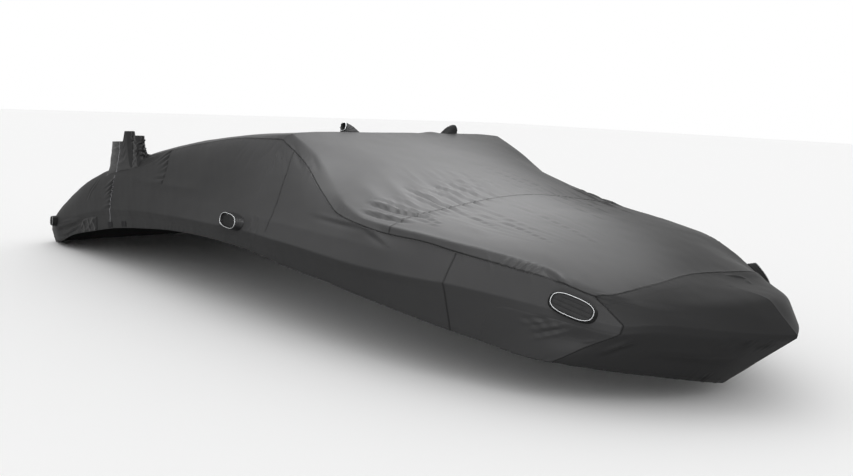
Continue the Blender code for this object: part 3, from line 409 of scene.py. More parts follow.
creases = {
    # folds that fan out above the cross seam, and fine ones that carry on below it
    "fan": {"form": "fold", "gain": 1.2, "longer": 0.5, "narrower": 0.85, "rows": (
        (((4.97, -1.06, 0.31), (5.12, -1.04, 0.29), (5.26, -1.01, 0.28)), 0.0172, 0.0109),
        (((4.94, -0.99, 0.36), (5.13, -0.96, 0.33), (5.28, -0.90, 0.31)), 0.0172, 0.0152),
        (((4.95, -0.94, 0.38), (5.12, -0.90, 0.35), (5.28, -0.86, 0.33)), 0.0117, 0.0094),
        (((4.97, -0.86, 0.40), (5.10, -0.84, 0.38), (5.28, -0.81, 0.34)), 0.0117, 0.0056),
        (((4.98, -0.77, 0.43), (5.14, -0.73, 0.39), (5.28, -0.71, 0.36)), 0.0117, 0.0064),
        (((4.93, -0.71, 0.46), (5.12, -0.68, 0.41), (5.28, -0.65, 0.37)), 0.0133, 0.0116),
        (((4.98, -0.62, 0.46), (5.11, -0.56, 0.43), (5.28, -0.54, 0.38)), 0.0117, 0.0072),
        (((4.96, -0.53, 0.48), (5.11, -0.48, 0.45), (5.28, -0.45, 0.40)), 0.0117, 0.0088),
        (((4.90, -0.43, 0.51), (5.11, -0.38, 0.46), (5.27, -0.34, 0.42)), 0.0117, 0.0072),
        (((4.97, -0.32, 0.50), (5.12, -0.27, 0.46), (5.27, -0.24, 0.42)), 0.0109, 0.0047),
        (((4.90, -0.14, 0.53), (5.10, -0.10, 0.47), (5.26, -0.08, 0.43)), 0.0094, 0.0032),
        (((4.70, 0.08, 0.59), (4.93, 0.14, 0.53), (5.07, 0.20, 0.48), (5.26, 0.24, 0.43)), 0.0085, 0.0035),
        (((4.78, 0.22, 0.57), (4.95, 0.27, 0.51), (5.11, 0.31, 0.46), (5.41, 0.33, 0.38), (5.65, 0.30, 0.35)),
         0.0086, 0.0045),
        (((4.84, 0.03, 0.55), (5.04, 0.06, 0.50), (5.26, 0.10, 0.43)), 0.0085, 0.0032),
        (((4.98, 0.44, 0.48), (5.20, 0.43, 0.42), (5.45, 0.42, 0.37), (5.75, 0.36, 0.32)), 0.0086, 0.0045),
        (((4.95, 0.60, 0.46), (5.20, 0.60, 0.40), (5.50, 0.55, 0.34)), 0.0094, 0.0042),
        (((4.90, 0.78, 0.43), (5.15, 0.77, 0.37), (5.45, 0.72, 0.32)), 0.0117, 0.0079),
        (((4.88, 0.93, 0.38), (5.10, 0.91, 0.34), (5.30, 0.88, 0.31)), 0.0148, 0.0109),
        (((5.28, -0.66, 0.37), (5.52, -0.66, 0.33), (5.66, -0.67, 0.32)), 0.0094, 0.0051),
        (((5.28, -0.57, 0.38), (5.54, -0.58, 0.34), (5.70, -0.56, 0.32), (5.93, -0.57, 0.28)),
         0.0086, 0.0054),
        (((5.28, -0.50, 0.39), (5.51, -0.49, 0.35), (5.72, -0.49, 0.32)), 0.0085, 0.0045),
        (((5.28, -0.25, 0.42), (5.52, -0.26, 0.37), (5.68, -0.26, 0.35), (5.99, -0.29, 0.28)),
         0.0085, 0.0045),
        (((5.28, 0.19, 0.42), (5.51, 0.18, 0.38), (5.76, 0.14, 0.34)), 0.0085, 0.0039),
        (((5.28, -0.89, 0.31), (5.34, -0.89, 0.31), (5.44, -0.90, 0.30)), 0.0094, 0.0064),
        (((5.30, -0.95, 0.29), (5.38, -0.94, 0.29), (5.46, -0.94, 0.28)), 0.0086, 0.0051),
        (((5.27, -0.76, 0.35), (5.39, -0.74, 0.33)), 0.0085, 0.0047),
    )},
    # puckers that hang from the shoulder of the slope
    "shoulder": {"form": "trough", "rows": (
        (((4.07, -1.00, 0.68), (4.11, -1.01, 0.65), (4.20, -1.04, 0.58), (4.29, -1.06, 0.53)), 0.018, 0.0060),
        (((3.96, -1.00, 0.70), (3.96, -1.03, 0.64), (4.04, -1.07, 0.56)), 0.018, 0.0045),
        (((3.90, -1.00, 0.71), (3.86, -1.05, 0.63), (3.80, -1.10, 0.54)), 0.016, 0.0035),
        (((4.02, -1.02, 0.66), (4.05, -1.05, 0.60), (4.13, -1.08, 0.52)), 0.016, 0.0040),
        (((4.28, -0.98, 0.62), (4.33, -1.00, 0.58), (4.41, -1.02, 0.52)), 0.016, 0.0035),
        (((4.07, 1.00, 0.68), (4.12, 1.02, 0.64), (4.24, 1.05, 0.56)), 0.018, 0.0060),
        (((3.96, 1.00, 0.70), (3.97, 1.04, 0.63), (4.06, 1.08, 0.54)), 0.018, 0.0045),
        (((3.88, 1.00, 0.71), (3.84, 1.06, 0.62), (3.80, 1.10, 0.54)), 0.016, 0.0035),
    )},
    # drags on the sides
    "drag": {"form": "fold", "rows": (
        (((5.08, -1.14, 0.24), (5.18, -1.15, 0.22), (5.30, -1.15, 0.18)), 0.022, 0.0040),
        (((4.58, -1.17, 0.27), (4.80, -1.165, 0.265), (5.08, -1.15, 0.25)), 0.022, 0.0040),
        (((6.21, -0.98, -0.085), (6.30, -0.945, -0.073), (6.40, -0.91, -0.062)), 0.012, -0.0065),
        (((6.26, -0.96, -0.115), (6.34, -0.93, -0.093), (6.43, -0.90, -0.070)), 0.013, -0.0070),
        (((6.26, -0.94, -0.165), (6.34, -0.91, -0.135), (6.43, -0.88, -0.108)), 0.013, -0.0060),
        (((6.21, 0.98, -0.085), (6.30, 0.945, -0.073), (6.40, 0.91, -0.062)), 0.012, 0.0060),
        (((6.26, 0.95, -0.130), (6.34, 0.92, -0.105), (6.43, 0.89, -0.080)), 0.013, 0.0060),
        (((6.50, -0.81, -0.160), (6.55, -0.79, -0.155)), 0.008, 0.0030),
        (((6.52, -0.80, -0.180), (6.55, -0.79, -0.172)), 0.007, 0.0025),
    )},
    # where the cloth bends over what is under it
    "bends": {"form": "edge", "mirrored": True, "rows": (
        (((1.50, -1.20, 0.285), (1.80, -1.21, 0.28), (2.26, -1.23, 0.28), (2.58, -1.23, 0.28),
          (3.20, -1.23, 0.30)), 0.045, 0.0110),
        (((3.9, -1.25, 0.21), (4.19, -1.24, 0.19), (4.73, -1.22, 0.18), (5.07, -1.19, 0.17),
          (5.38, -1.15, 0.15)), 0.040, 0.0050),
        (((4.70, -1.05, 0.41), (4.80, -1.089, 0.362), (5.04, -1.122, 0.299), (5.27, -1.097, 0.277),
          (5.52, -1.065, 0.262), (5.74, -1.02, 0.242), (6.02, -0.933, 0.213), (6.30, -0.825, 0.161)),
         0.022, 0.0120),
    )},
    # cloth drawn up to the sleeves, and gathered low at the stern
    "quarter": {"form": "fold", "rows": (
        (((1.30, -1.20, 0.24), (1.27, -1.235, 0.17), (1.21, -1.26, 0.10), (1.18, -1.275, 0.02)),
         0.018, 0.0040),
        (((1.95, -1.175, 0.40), (2.10, -1.18, 0.43), (2.30, -1.155, 0.49)), 0.030, 0.0060),
        (((0.50, -1.285, -0.31), (0.75, -1.29, -0.26), (1.05, -1.29, -0.19)), 0.016, 0.0080),
        (((0.46, -1.28, -0.35), (0.70, -1.285, -0.31), (1.02, -1.29, -0.225)), 0.014, -0.0085),
        (((0.50, -1.275, -0.40), (0.72, -1.28, -0.345), (0.98, -1.285, -0.25)), 0.013, 0.0070),
        (((0.42, -1.27, -0.42), (0.60, -1.275, -0.385), (0.80, -1.28, -0.33)), 0.012, -0.0060),
        (((0.62, -1.295, -0.24), (0.80, -1.295, -0.20), (1.06, -1.295, -0.16)), 0.014, -0.0060),
        (((1.30, 1.20, 0.24), (1.27, 1.235, 0.17), (1.21, 1.26, 0.10), (1.18, 1.275, 0.02)), 0.018, -0.0040),
        (((0.50, 1.285, -0.31), (0.78, 1.29, -0.26), (1.05, 1.29, -0.19)), 0.016, -0.0075),
        (((0.48, 1.28, -0.36), (0.70, 1.285, -0.32), (1.00, 1.29, -0.235)), 0.014, 0.0080),
        (((0.50, 1.275, -0.41), (0.70, 1.28, -0.36), (0.90, 1.285, -0.28)), 0.013, -0.0065),
    )},
    # rings in the cloth round the side vents
    "ventRings": {"form": "ridge", "rows": (
        (((3.95, -1.252, 0.205), (4.00, -1.258, 0.17), (4.02, -1.264, 0.12), (3.99, -1.27, 0.07)),
         0.010, 0.0040),
        (((4.03, -1.246, 0.215), (4.09, -1.252, 0.17), (4.10, -1.258, 0.11), (4.06, -1.265, 0.06)),
         0.012, 0.0028),
        (((3.95, 1.252, 0.205), (4.00, 1.258, 0.17), (4.02, 1.264, 0.12), (3.99, 1.27, 0.07)), 0.010, 0.0040),
    )},
    # short puckers on the strip above the side seam, forward
    "strip": {"form": "fold", "gain": 1.3, "rows": (
        (((6.02, -0.975, 0.165), (6.05, -0.92, 0.19)), 0.011, 0.0040),
        (((6.07, -0.96, 0.160), (6.10, -0.90, 0.185)), 0.011, 0.0045),
        (((6.11, -0.945, 0.155), (6.14, -0.885, 0.18)), 0.011, 0.0050),
        (((6.16, -0.925, 0.150), (6.18, -0.865, 0.18)), 0.010, 0.0045),
        (((6.20, -0.91, 0.145), (6.22, -0.855, 0.175)), 0.010, 0.0045),
        (((6.24, -0.86, 0.170), (6.31, -0.85, 0.14), (6.38, -0.85, 0.12)), 0.020, 0.0050),
        (((6.02, 0.975, 0.165), (6.05, 0.92, 0.19)), 0.011, 0.0040),
        (((6.12, 0.945, 0.155), (6.14, 0.885, 0.18)), 0.011, 0.0045),
    )},
    "junction": {"form": "ridge", "gain": 1.2, "rows": (
        (((6.49, -0.785, 0.085), (6.56, -0.735, 0.082)), 0.007, 0.0040),
        (((6.52, -0.770, 0.072), (6.57, -0.735, 0.070)), 0.007, 0.0045),
        (((6.53, -0.765, 0.060), (6.585, -0.72, 0.062)), 0.007, 0.0045),
        (((6.55, -0.760, 0.048), (6.60, -0.715, 0.052)), 0.007, 0.0040),
        (((6.49, 0.785, 0.085), (6.56, 0.735, 0.082)), 0.008, 0.0040),
        (((6.53, 0.765, 0.060), (6.585, 0.72, 0.062)), 0.008, 0.0040),
        (((6.63, 0.22, 0.115), (6.66, 0.28, 0.11), (6.69, 0.33, 0.09)), 0.013, 0.0060),
        (((6.70, 0.31, 0.093), (6.76, 0.25, 0.085)), 0.011, 0.0050),
    )},
    "nose": {"form": "fold", "gain": 1.35, "rows": (
        (((6.90, -0.40, -0.128), (6.96, -0.335, -0.126), (7.03, -0.27, -0.115)), 0.010, -0.0060),
        (((7.00, -0.235, -0.155), (7.055, -0.215, -0.115)), 0.008, 0.0045),
        (((7.01, -0.20, -0.160), (7.065, -0.19, -0.120)), 0.007, 0.0035),
        (((7.045, -0.145, -0.165), (7.10, -0.12, -0.125)), 0.008, 0.0045),
        (((7.05, -0.115, -0.172), (7.11, -0.095, -0.128)), 0.007, 0.0040),
        (((7.06, -0.09, -0.178), (7.12, -0.07, -0.130)), 0.007, 0.0035),
        (((7.00, 0.235, -0.155), (7.055, 0.215, -0.115)), 0.008, -0.0045),
        (((7.045, 0.145, -0.165), (7.10, 0.12, -0.125)), 0.008, -0.0045),
        (((6.72, -0.57, -0.210), (6.78, -0.48, -0.212), (6.86, -0.35, -0.225), (6.96, -0.17, -0.24)),
         0.030, 0.0070),
        (((6.72, 0.57, -0.210), (6.80, 0.46, -0.215), (6.92, 0.27, -0.235)), 0.030, -0.0060),
        (((6.77, -0.31, -0.350), (6.80, -0.30, -0.325)), 0.007, 0.0035),
        (((6.78, -0.235, -0.375), (6.82, -0.19, -0.345)), 0.008, 0.0040),
        (((6.79, -0.19, -0.395), (6.825, -0.19, -0.355)), 0.007, 0.0035),
        (((6.56, -0.745, -0.215), (6.65, -0.70, -0.165), (6.69, -0.66, -0.15)), 0.020, 0.0080),
        (((6.56, 0.745, -0.215), (6.65, 0.70, -0.165), (6.69, 0.66, -0.15)), 0.020, -0.0070),
    )},
}
# fine streaks spread evenly between a first and a last line
streaks = (
    {"form": "fold", "count": 8, "width": 0.009, "height": 0.0026, "mirrors": (1,),
     "first": ((4.75, 0.35, 0.57), (5.30, 0.33, 0.41), (5.95, 0.22, 0.30)),
     "last": ((4.95, 0.78, 0.43), (5.30, 0.74, 0.35), (5.75, 0.62, 0.29))},
    {"form": "fold", "count": 11, "width": 0.010, "height": 0.0021, "mirrors": (1,),
     "first": ((5.34, -0.80, 0.33), (5.70, -0.74, 0.30), (6.05, -0.62, 0.25)),
     "last": ((5.34, -0.10, 0.41), (5.80, -0.12, 0.33), (6.30, -0.15, 0.21))},
    {"form": "fold", "count": 7, "width": 0.010, "height": 0.0030, "mirrors": (1,),
     "first": ((4.62, -0.62, 0.56), (4.90, -0.66, 0.47), (5.24, -0.70, 0.36)),
     "last": ((4.70, -0.18, 0.61), (4.95, -0.22, 0.52), (5.26, -0.30, 0.42))},
    {"form": "trough", "count": 7, "width": 0.014, "height": 0.0028, "mirrors": (1, -1),
     "first": ((3.62, -1.04, 0.68), (3.56, -1.09, 0.58), (3.50, -1.14, 0.47)),
     "last": ((3.98, -1.02, 0.66), (4.00, -1.06, 0.58), (4.05, -1.11, 0.46))},
)
seamStyle = {
    "groove": 0.0022,        # the seam lies this deep
    "grooveWidth": 0.0035,
    "flange": 0.0007,        # the turned edges beside it stand this high
    "flangeWidth": 0.013,
    # puckers across each seam
    "sideSeam": {"pitch": 0.045, "width": 0.011, "reach": 0.045, "slant": 0.3, "height": 0.0022},
    "crossSeam": {"pitch": 0.040, "width": 0.010, "reach": 0.050, "slant": 0.0, "height": 0.0020},
    "capSeam": {"pitch": 0.035, "width": 0.009, "reach": 0.035, "slant": 0.2, "height": 0.0020},
    "sideJoin": {"pitch": 0.050, "width": 0.011, "reach": 0.035, "slant": 0.1, "height": 0.0014},
    "hemEdge": {"pitch": 0.060, "width": 0.013, "reach": 0.040, "slant": 0.2, "height": 0.0028},
    "sternEdge": {"pitch": 0.045, "width": 0.010, "reach": 0.045, "slant": 0.0, "height": 0.0025},
}
# slow unevenness of the cloth
sway = {"height": 0.0032, "pitch": 0.42, "fine": 0.0010, "finePitch": 0.13, "waves": 6}

# seams sewn over the sides: beside is the side that puckers, 1 the line's left and -1 its right
sewnLines = (
    {"name": "closing", "beside": -1, "pitch": 0.050, "reach": 0.090, "width": 0.014, "height": 0.010,
     "groove": 0.002, "slant": 0.1, "line": ((1.63, -1.215, 0.27), (1.66, -1.24, 0.19), (1.69, -1.27, 0.13),
                                             (1.71, -1.29, 0.05), (1.72, -1.30, 0.0))},
    {"name": "closingFoot", "beside": -1, "pitch": 0.20, "reach": 0.03, "width": 0.012, "height": 0.001,
     "groove": 0.0012, "line": ((1.72, -1.30, 0.0), (1.70, -1.295, -0.08), (1.69, -1.29, -0.14))},
    {"name": "sleeveBase", "beside": -1, "pitch": 0.055, "reach": 0.110, "width": 0.015, "height": 0.009,
     "groove": 0.0015, "line": ((2.44, -1.07, 0.565), (2.50, -1.13, 0.50), (2.56, -1.18, 0.42),
                                (2.575, -1.21, 0.35), (2.58, -1.235, 0.28))},
    {"name": "shoulderSeam", "beside": -1, "pitch": 0.12, "reach": 0.03, "width": 0.012, "height": 0.0012,
     "groove": 0.0012, "line": ((4.10, -1.01, 0.65), (4.13, -1.06, 0.56), (4.15, -1.09, 0.51),
                                (4.16, -1.13, 0.44), (4.18, -1.18, 0.34), (4.19, -1.23, 0.23),
                                (4.19, -1.265, 0.12))},
)

flatCloth, flatNormals = cloth.reshape(-1, 3), gridNormals(cloth).reshape(-1, 3)
lift = np.zeros(len(flatCloth))
for group in creases.values():
    for row, width, height in group["rows"]:
        for mirror in (1, -1) if group.get("mirrored") else (1,):
            line = np.array(row) * (1, mirror, 1)
            line[0] -= 0.1 * group.get("longer", 0.0) * (line[1] - line[0])
            line[-1] += group.get("longer", 0.0) * (line[-1] - line[-2])
            lift += creaseLift(flatCloth, flatNormals, line, width * group.get("narrower", 1.0),
                               height * group.get("gain", 1.0), group["form"])
for group in streaks:
    for mirror in group["mirrors"]:
        for number in range(group["count"]):
            share = (number + rng.uniform(-0.3, 0.3)) / (group["count"] - 1)
            line = (np.array(group["first"]) * (1 - share) + np.array(group["last"]) * share) * (1, mirror, 1)
            line[0] += (line[1] - line[0]) * rng.uniform(0, 0.5)
            line[-1] -= (line[-1] - line[-2]) * rng.uniform(0, 0.5)
            width = group["width"] * rng.uniform(0.8, 1.3)
            height = group["height"] * rng.uniform(0.5, 1.2)
            lift += creaseLift(flatCloth, flatNormals, line, width, height, group["form"])
fromLine = np.ones(len(flatCloth))
for row in sewnLines:
    for mirror in (1, -1):
        line = np.array(row["line"]) * (1, mirror, 1)
        shift, far = sewnLine(flatCloth, flatNormals, {**row, "line": line, "beside": row["beside"] * mirror})
        lift += shift
        fromLine = np.minimum(fromLine, far)
lift = lift.reshape(cloth.shape[:2])
alongRuns, acrossRuns = runsAlong(cloth, 0), runsAlong(cloth, 1)
fromSeam = fromLine.reshape(cloth.shape[:2])     # distance to the nearest seam


def rowOf(station):
    return int(np.argmin(np.abs(stations - station)))


# The column of a place on one side: hand is -1 to starboard and 1 to port.
def columnOf(number, hand):
    return int(np.argmin(np.abs(column - (number if hand < 0 else portHem - number))))


# Grooves the cloth along a seam, with a raised flange at one side and puckers across it.
def sewSeam(away, along, length, style, on):
    wide = seamStyle["flangeWidth"]
    groove = -seamStyle["groove"] * np.exp(-(away / seamStyle["grooveWidth"]) ** 2)
    flange = seamStyle["flange"] * np.exp(-((away - 0.6 * wide) / (0.5 * wide)) ** 2)
    lift[:] += np.where(on, groove + flange + puckerLift(along, away, length, style), 0)
    fromSeam[:] = np.where(on, np.minimum(fromSeam, np.abs(away)), fromSeam)


for hand in (-1, 1):
    seamColumn = columnOf(seamPlace, hand)
    away = (acrossRuns - acrossRuns[:, seamColumn:seamColumn + 1]) * hand
    along = np.broadcast_to(alongRuns[:, seamColumn:seamColumn + 1], away.shape)
    on = (side == hand)[None, :] & (stations <= seams["cap"] + 0.01)[:, None]
    sewSeam(away, along, along.max(), seamStyle["sideSeam"], on)
acrossSeams = (
    ("cross", "crossSeam", place >= seamPlace - 0.01),
    ("cap", "capSeam", place >= 0),
    ("sideJoin", "sideJoin", place <= seamPlace + 0.01),
)
for name, style, onPlaces in acrossSeams:
    seamRow = rowOf(seams[name])
    away = alongRuns[seamRow:seamRow + 1] - alongRuns
    along = np.broadcast_to(acrossRuns[seamRow:seamRow + 1], away.shape)
    sewSeam(away, along, along.max(), seamStyle[style], np.broadcast_to(onPlaces[None, :], away.shape))
for hand in (-1, 1):
    hemColumn = columnOf(0, hand)
    away = np.abs(acrossRuns - acrossRuns[:, hemColumn:hemColumn + 1])
    along = np.broadcast_to(alongRuns[:, hemColumn:hemColumn + 1], away.shape)
    puckers = puckerLift(along, away, along.max(), seamStyle["hemEdge"])
    lift += np.where((side == hand)[None, :], puckers, 0)
away = alongRuns
along = np.broadcast_to(acrossRuns[:1], away.shape)
lift += puckerLift(along, away, acrossRuns[0].max(), seamStyle["sternEdge"])
for pitch, height in ((sway["pitch"], sway["height"]), (sway["finePitch"], sway["fine"])):
    for _ in range(sway["waves"]):
        way = rng.normal(size=3)
        way *= 2 * math.pi / (pitch * rng.uniform(0.7, 1.5)) / np.linalg.norm(way)
        lift += height / sway["waves"] * np.sin(cloth @ way + rng.uniform(0, 6.28))
lift[-1] = 0.0
cloth = cloth + gridNormals(cloth) * lift[..., None]
normals = gridNormals(cloth)
print("creases, puckers and seams are in the cloth")


# finishes
finishes = {
    # colour, roughness, sheen, how much the shade drifts, and the thread's pitch
    # topCloth, sideCloth and capCloth are one cloth in three tones: the top lighter, the sides darker and the
    # bow cap darkest, as painted light and shade
    "topCloth": {"colour": (0.0190, 0.0190, 0.0193), "rough": 0.55, "specular": 0.12, "sheen": 0.02,
                 "drift": 0.08, "thread": 0.0011, "bump": 0.35},
    "sideCloth": {"colour": (0.0150, 0.0150, 0.0153), "rough": 0.60, "specular": 0.10, "sheen": 0.02,
                  "drift": 0.08, "thread": 0.0011, "bump": 0.35},
    "capCloth": {"colour": (0.0090, 0.0090, 0.0092), "rough": 0.60, "specular": 0.10, "sheen": 0.02,
                 "drift": 0.08, "thread": 0.0011, "bump": 0.35},
    "bootCloth": {"colour": (0.0090, 0.0090, 0.0093), "rough": 0.45, "specular": 0.25, "sheen": 0.01,
                  "drift": 0.12, "thread": 0.0014, "bump": 0.45},
    "patchCloth": {"colour": (0.0125, 0.0125, 0.0128), "rough": 0.58, "specular": 0.15, "sheen": 0.02,
                   "drift": 0.08, "thread": 0.0016, "bump": 0.45},
    "thread": {"colour": (0.006, 0.006, 0.0062), "rough": 0.6, "specular": 0.1, "sheen": 0.0,
               "drift": 0.05, "thread": 0.0006, "bump": 0.3},
    "paleThread": {"colour": (0.20, 0.20, 0.21), "rough": 0.5, "specular": 0.45, "sheen": 0.05,
                   "drift": 0.05, "thread": 0.0006, "bump": 0.3},
    "webbing": {"colour": (0.008, 0.008, 0.009), "rough": 0.6, "specular": 0.08, "sheen": 0.0,
                "drift": 0.05, "thread": 0.0022, "bump": 0.7},
}
# among these, the seam tone is the colour multiplied in along seams as painted shade
clothWeave = {
    "waveScale": 0.32, "driftScale": 3.2, "mottleScale": 110.0, "mottleShare": 0.55, "grainScale": 420.0,
    "threadShade": 0.10, "seamShadowTone": (0.12, 0.12, 0.12, 1), "roughDrift": 0.06, "sheenRough": 0.45,
    "grainHeight": 0.5, "depth": 0.0003,
}
plastics = {
    "ventPlastic": {"colour": (0.0045, 0.0045, 0.0047), "rough": 0.6, "specular": 0.12, "coat": 0.0,
                    "grain": 900.0, "depth": 0.0002},
    "pipingPlastic": {"colour": (0.30, 0.305, 0.31), "rough": 0.38, "specular": 0.3, "coat": 0.1,
                      "grain": 600.0, "depth": 0.0001},
}
plasticWear = {"scale": 22.0, "drift": 0.15, "roughDrift": 0.08, "bump": 0.3}


# A shader node with its settings; an input's name is written with _ for a space.
def node(tree, kind, place=(0, 0), **values):
    made = tree.nodes.new(kind)
    made.location = place
    for name, value in values.items():
        if hasattr(made, name):
            setattr(made, name, value)
        else:
            made.inputs[name.replace("_", " ")].default_value = value
    return made


# Woven polyester: two crossed thread waves, a slow drift of tone, and painted shade along the seams.
def clothMaterial(name, look):
    made = bpy.data.materials.new(name)
    made.use_nodes = True
    tree = made.node_tree
    shader = tree.nodes["Principled BSDF"]
    shader.inputs["Specular IOR Level"].default_value = look["specular"]
    shader.inputs["Sheen Weight"].default_value = look["sheen"]
    shader.inputs["Sheen Roughness"].default_value = clothWeave["sheenRough"]
    spot = node(tree, "ShaderNodeTexCoord", (-1400, 0))
    scale = 1 / look["thread"] / 2
    waves = []
    for number, direction in enumerate(("X", "Z")):
        wave = node(tree, "ShaderNodeTexWave", (-1150, -300 - 250 * number), wave_type="BANDS",
                    bands_direction=direction, Scale=scale * clothWeave["waveScale"], Distortion=0.6)
        wave.inputs["Detail"].default_value = 1.0
        tree.links.new(spot.outputs["Object"], wave.inputs["Vector"])
        waves.append(wave)
    weave = node(tree, "ShaderNodeMath", (-900, -400), operation="MAXIMUM")
    for number, wave in enumerate(waves):
        tree.links.new(wave.outputs["Fac"], weave.inputs[number])
    drift = node(tree, "ShaderNodeTexNoise", (-1150, 300), Scale=clothWeave["driftScale"],
                 Detail=4.0, Roughness=0.55)
    grain = node(tree, "ShaderNodeTexNoise", (-1150, 60), Scale=clothWeave["grainScale"],
                 Detail=2.0, Roughness=0.6)
    for texture in (drift, grain):
        tree.links.new(spot.outputs["Object"], texture.inputs["Vector"])
    mottle = node(tree, "ShaderNodeTexNoise", (-1150, 560), Scale=clothWeave["mottleScale"],
                  Detail=3.0, Roughness=0.7)
    tree.links.new(spot.outputs["Object"], mottle.inputs["Vector"])
    ramp = node(tree, "ShaderNodeValToRGB", (-900, 300))
    low, high = (1 - look["drift"]), (1 + look["drift"])
    ramp.color_ramp.elements[0].position, ramp.color_ramp.elements[1].position = 0.3, 0.7
    ramp.color_ramp.elements[0].color = (*[c * low for c in look["colour"]], 1)
    ramp.color_ramp.elements[1].color = (*[c * high for c in look["colour"]], 1)
    blended = node(tree, "ShaderNodeMix", (-1000, 420), data_type="FLOAT")
    blended.inputs["Factor"].default_value = clothWeave["mottleShare"]
    tree.links.new(drift.outputs["Fac"], blended.inputs["A"])
    tree.links.new(mottle.outputs["Fac"], blended.inputs["B"])
    tree.links.new(blended.outputs["Result"], ramp.inputs["Fac"])
    threads = node(tree, "ShaderNodeMix", (-620, 300), data_type="RGBA", blend_type="MULTIPLY")
    threads.inputs["Factor"].default_value = clothWeave["threadShade"]
    tree.links.new(ramp.outputs["Color"], threads.inputs["A"])
    tree.links.new(weave.outputs["Value"], threads.inputs["B"])
    # painted shade: the colour is darkened along every seam, standing in for the shadow in its groove
    paintedSeamShade = node(tree, "ShaderNodeAttribute", (-900, 60), attribute_name="paintedSeamShade")
    seamShadowMix = node(tree, "ShaderNodeMix", (-360, 300), data_type="RGBA", blend_type="MULTIPLY")
    seamShadowMix.inputs["B"].default_value = clothWeave["seamShadowTone"]
    tree.links.new(paintedSeamShade.outputs["Fac"], seamShadowMix.inputs["Factor"])
    tree.links.new(threads.outputs["Result"], seamShadowMix.inputs["A"])
    tree.links.new(seamShadowMix.outputs["Result"], shader.inputs["Base Color"])
    rough = node(tree, "ShaderNodeMapRange", (-620, 20))
    rough.inputs["To Min"].default_value = look["rough"] - clothWeave["roughDrift"]
    rough.inputs["To Max"].default_value = look["rough"] + clothWeave["roughDrift"]
    tree.links.new(grain.outputs["Fac"], rough.inputs["Value"])
    tree.links.new(rough.outputs["Result"], shader.inputs["Roughness"])
    height = node(tree, "ShaderNodeMath", (-620, -300), operation="MULTIPLY_ADD")
    height.inputs[1].default_value = clothWeave["grainHeight"]
    tree.links.new(grain.outputs["Fac"], height.inputs[0])
    tree.links.new(weave.outputs["Value"], height.inputs[2])
    bump = node(tree, "ShaderNodeBump", (-360, -300), Strength=look["bump"], Distance=clothWeave["depth"])
    tree.links.new(height.outputs["Value"], bump.inputs["Height"])
    tree.links.new(bump.outputs["Normal"], shader.inputs["Normal"])
    return made


# Moulded plastic with a fine grain and a little wear in its shine.
def plasticMaterial(name, look):
    made = bpy.data.materials.new(name)
    made.use_nodes = True
    tree = made.node_tree
    shader = tree.nodes["Principled BSDF"]
    shader.inputs["Coat Weight"].default_value = look["coat"]
    shader.inputs["Specular IOR Level"].default_value = look["specular"]
    spot = node(tree, "ShaderNodeTexCoord", (-1100, 0))
    grain = node(tree, "ShaderNodeTexNoise", (-850, -200), Scale=look["grain"], Detail=3.0)
    wear = node(tree, "ShaderNodeTexNoise", (-850, 150), Scale=plasticWear["scale"], Detail=3.0)
    for texture in (grain, wear):
        tree.links.new(spot.outputs["Object"], texture.inputs["Vector"])
    ramp = node(tree, "ShaderNodeValToRGB", (-600, 150))
    ramp.color_ramp.elements[0].color = (*[c * (1 - plasticWear["drift"]) for c in look["colour"]], 1)
    ramp.color_ramp.elements[1].color = (*[c * (1 + plasticWear["drift"]) for c in look["colour"]], 1)
    tree.links.new(wear.outputs["Fac"], ramp.inputs["Fac"])
    tree.links.new(ramp.outputs["Color"], shader.inputs["Base Color"])
    shine = node(tree, "ShaderNodeMapRange", (-600, -60))
    shine.inputs["To Min"].default_value = look["rough"] - plasticWear["roughDrift"]
    shine.inputs["To Max"].default_value = look["rough"] + plasticWear["roughDrift"]
    tree.links.new(wear.outputs["Fac"], shine.inputs["Value"])
    tree.links.new(shine.outputs["Result"], shader.inputs["Roughness"])
    bump = node(tree, "ShaderNodeBump", (-350, -250), Strength=plasticWear["bump"], Distance=look["depth"])
    tree.links.new(grain.outputs["Fac"], bump.inputs["Height"])
    tree.links.new(bump.outputs["Normal"], shader.inputs["Normal"])
    return made


materials = {name: clothMaterial(name, look) for name, look in finishes.items()}
materials.update({name: plasticMaterial(name, look) for name, look in plastics.items()})
print("finishes are made")


# pieces
# A mesh piece in the part's frame, riding on the root body.
def newPiece(name, vertices, faces, material, stands=(), paintedSeamShade=None):
    data = bpy.data.meshes.new(name)
    vertices = np.asarray(vertices, float) + coverOrigin
    faces = np.asarray(faces)
    data.vertices.add(len(vertices))
    data.vertices.foreach_set("co", vertices.astype(np.float32).ravel())
    count, sides = faces.shape
    data.loops.add(count * sides)
    data.loops.foreach_set("vertex_index", faces.astype(np.int32).ravel())
    data.polygons.add(count)
    data.polygons.foreach_set("loop_start", np.arange(0, count * sides, sides, dtype=np.int32))
    data.update(calc_edges=True)
    data.validate()
    data.shade_smooth()
    # painted shade: a share per point by which the material darkens the colour along seams
    shade = data.attributes.new("paintedSeamShade", "FLOAT", "POINT")
    values = np.zeros(len(vertices)) if paintedSeamShade is None else paintedSeamShade
    shade.data.foreach_set("value", values.astype(np.float32))
    data.materials.append(materials[material])
    made = bpy.data.objects.new(name, data)
    bpy.context.scene.collection.objects.link(made)
    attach(made, "root")
    if stands:
        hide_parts(*stands)
    return made


panelNames = ("aft_top", "windshield_panel", "foredeck_panel", "bow_cap", "side_aft_stbd", "side_aft_port",
              "side_fore_stbd", "side_fore_port")
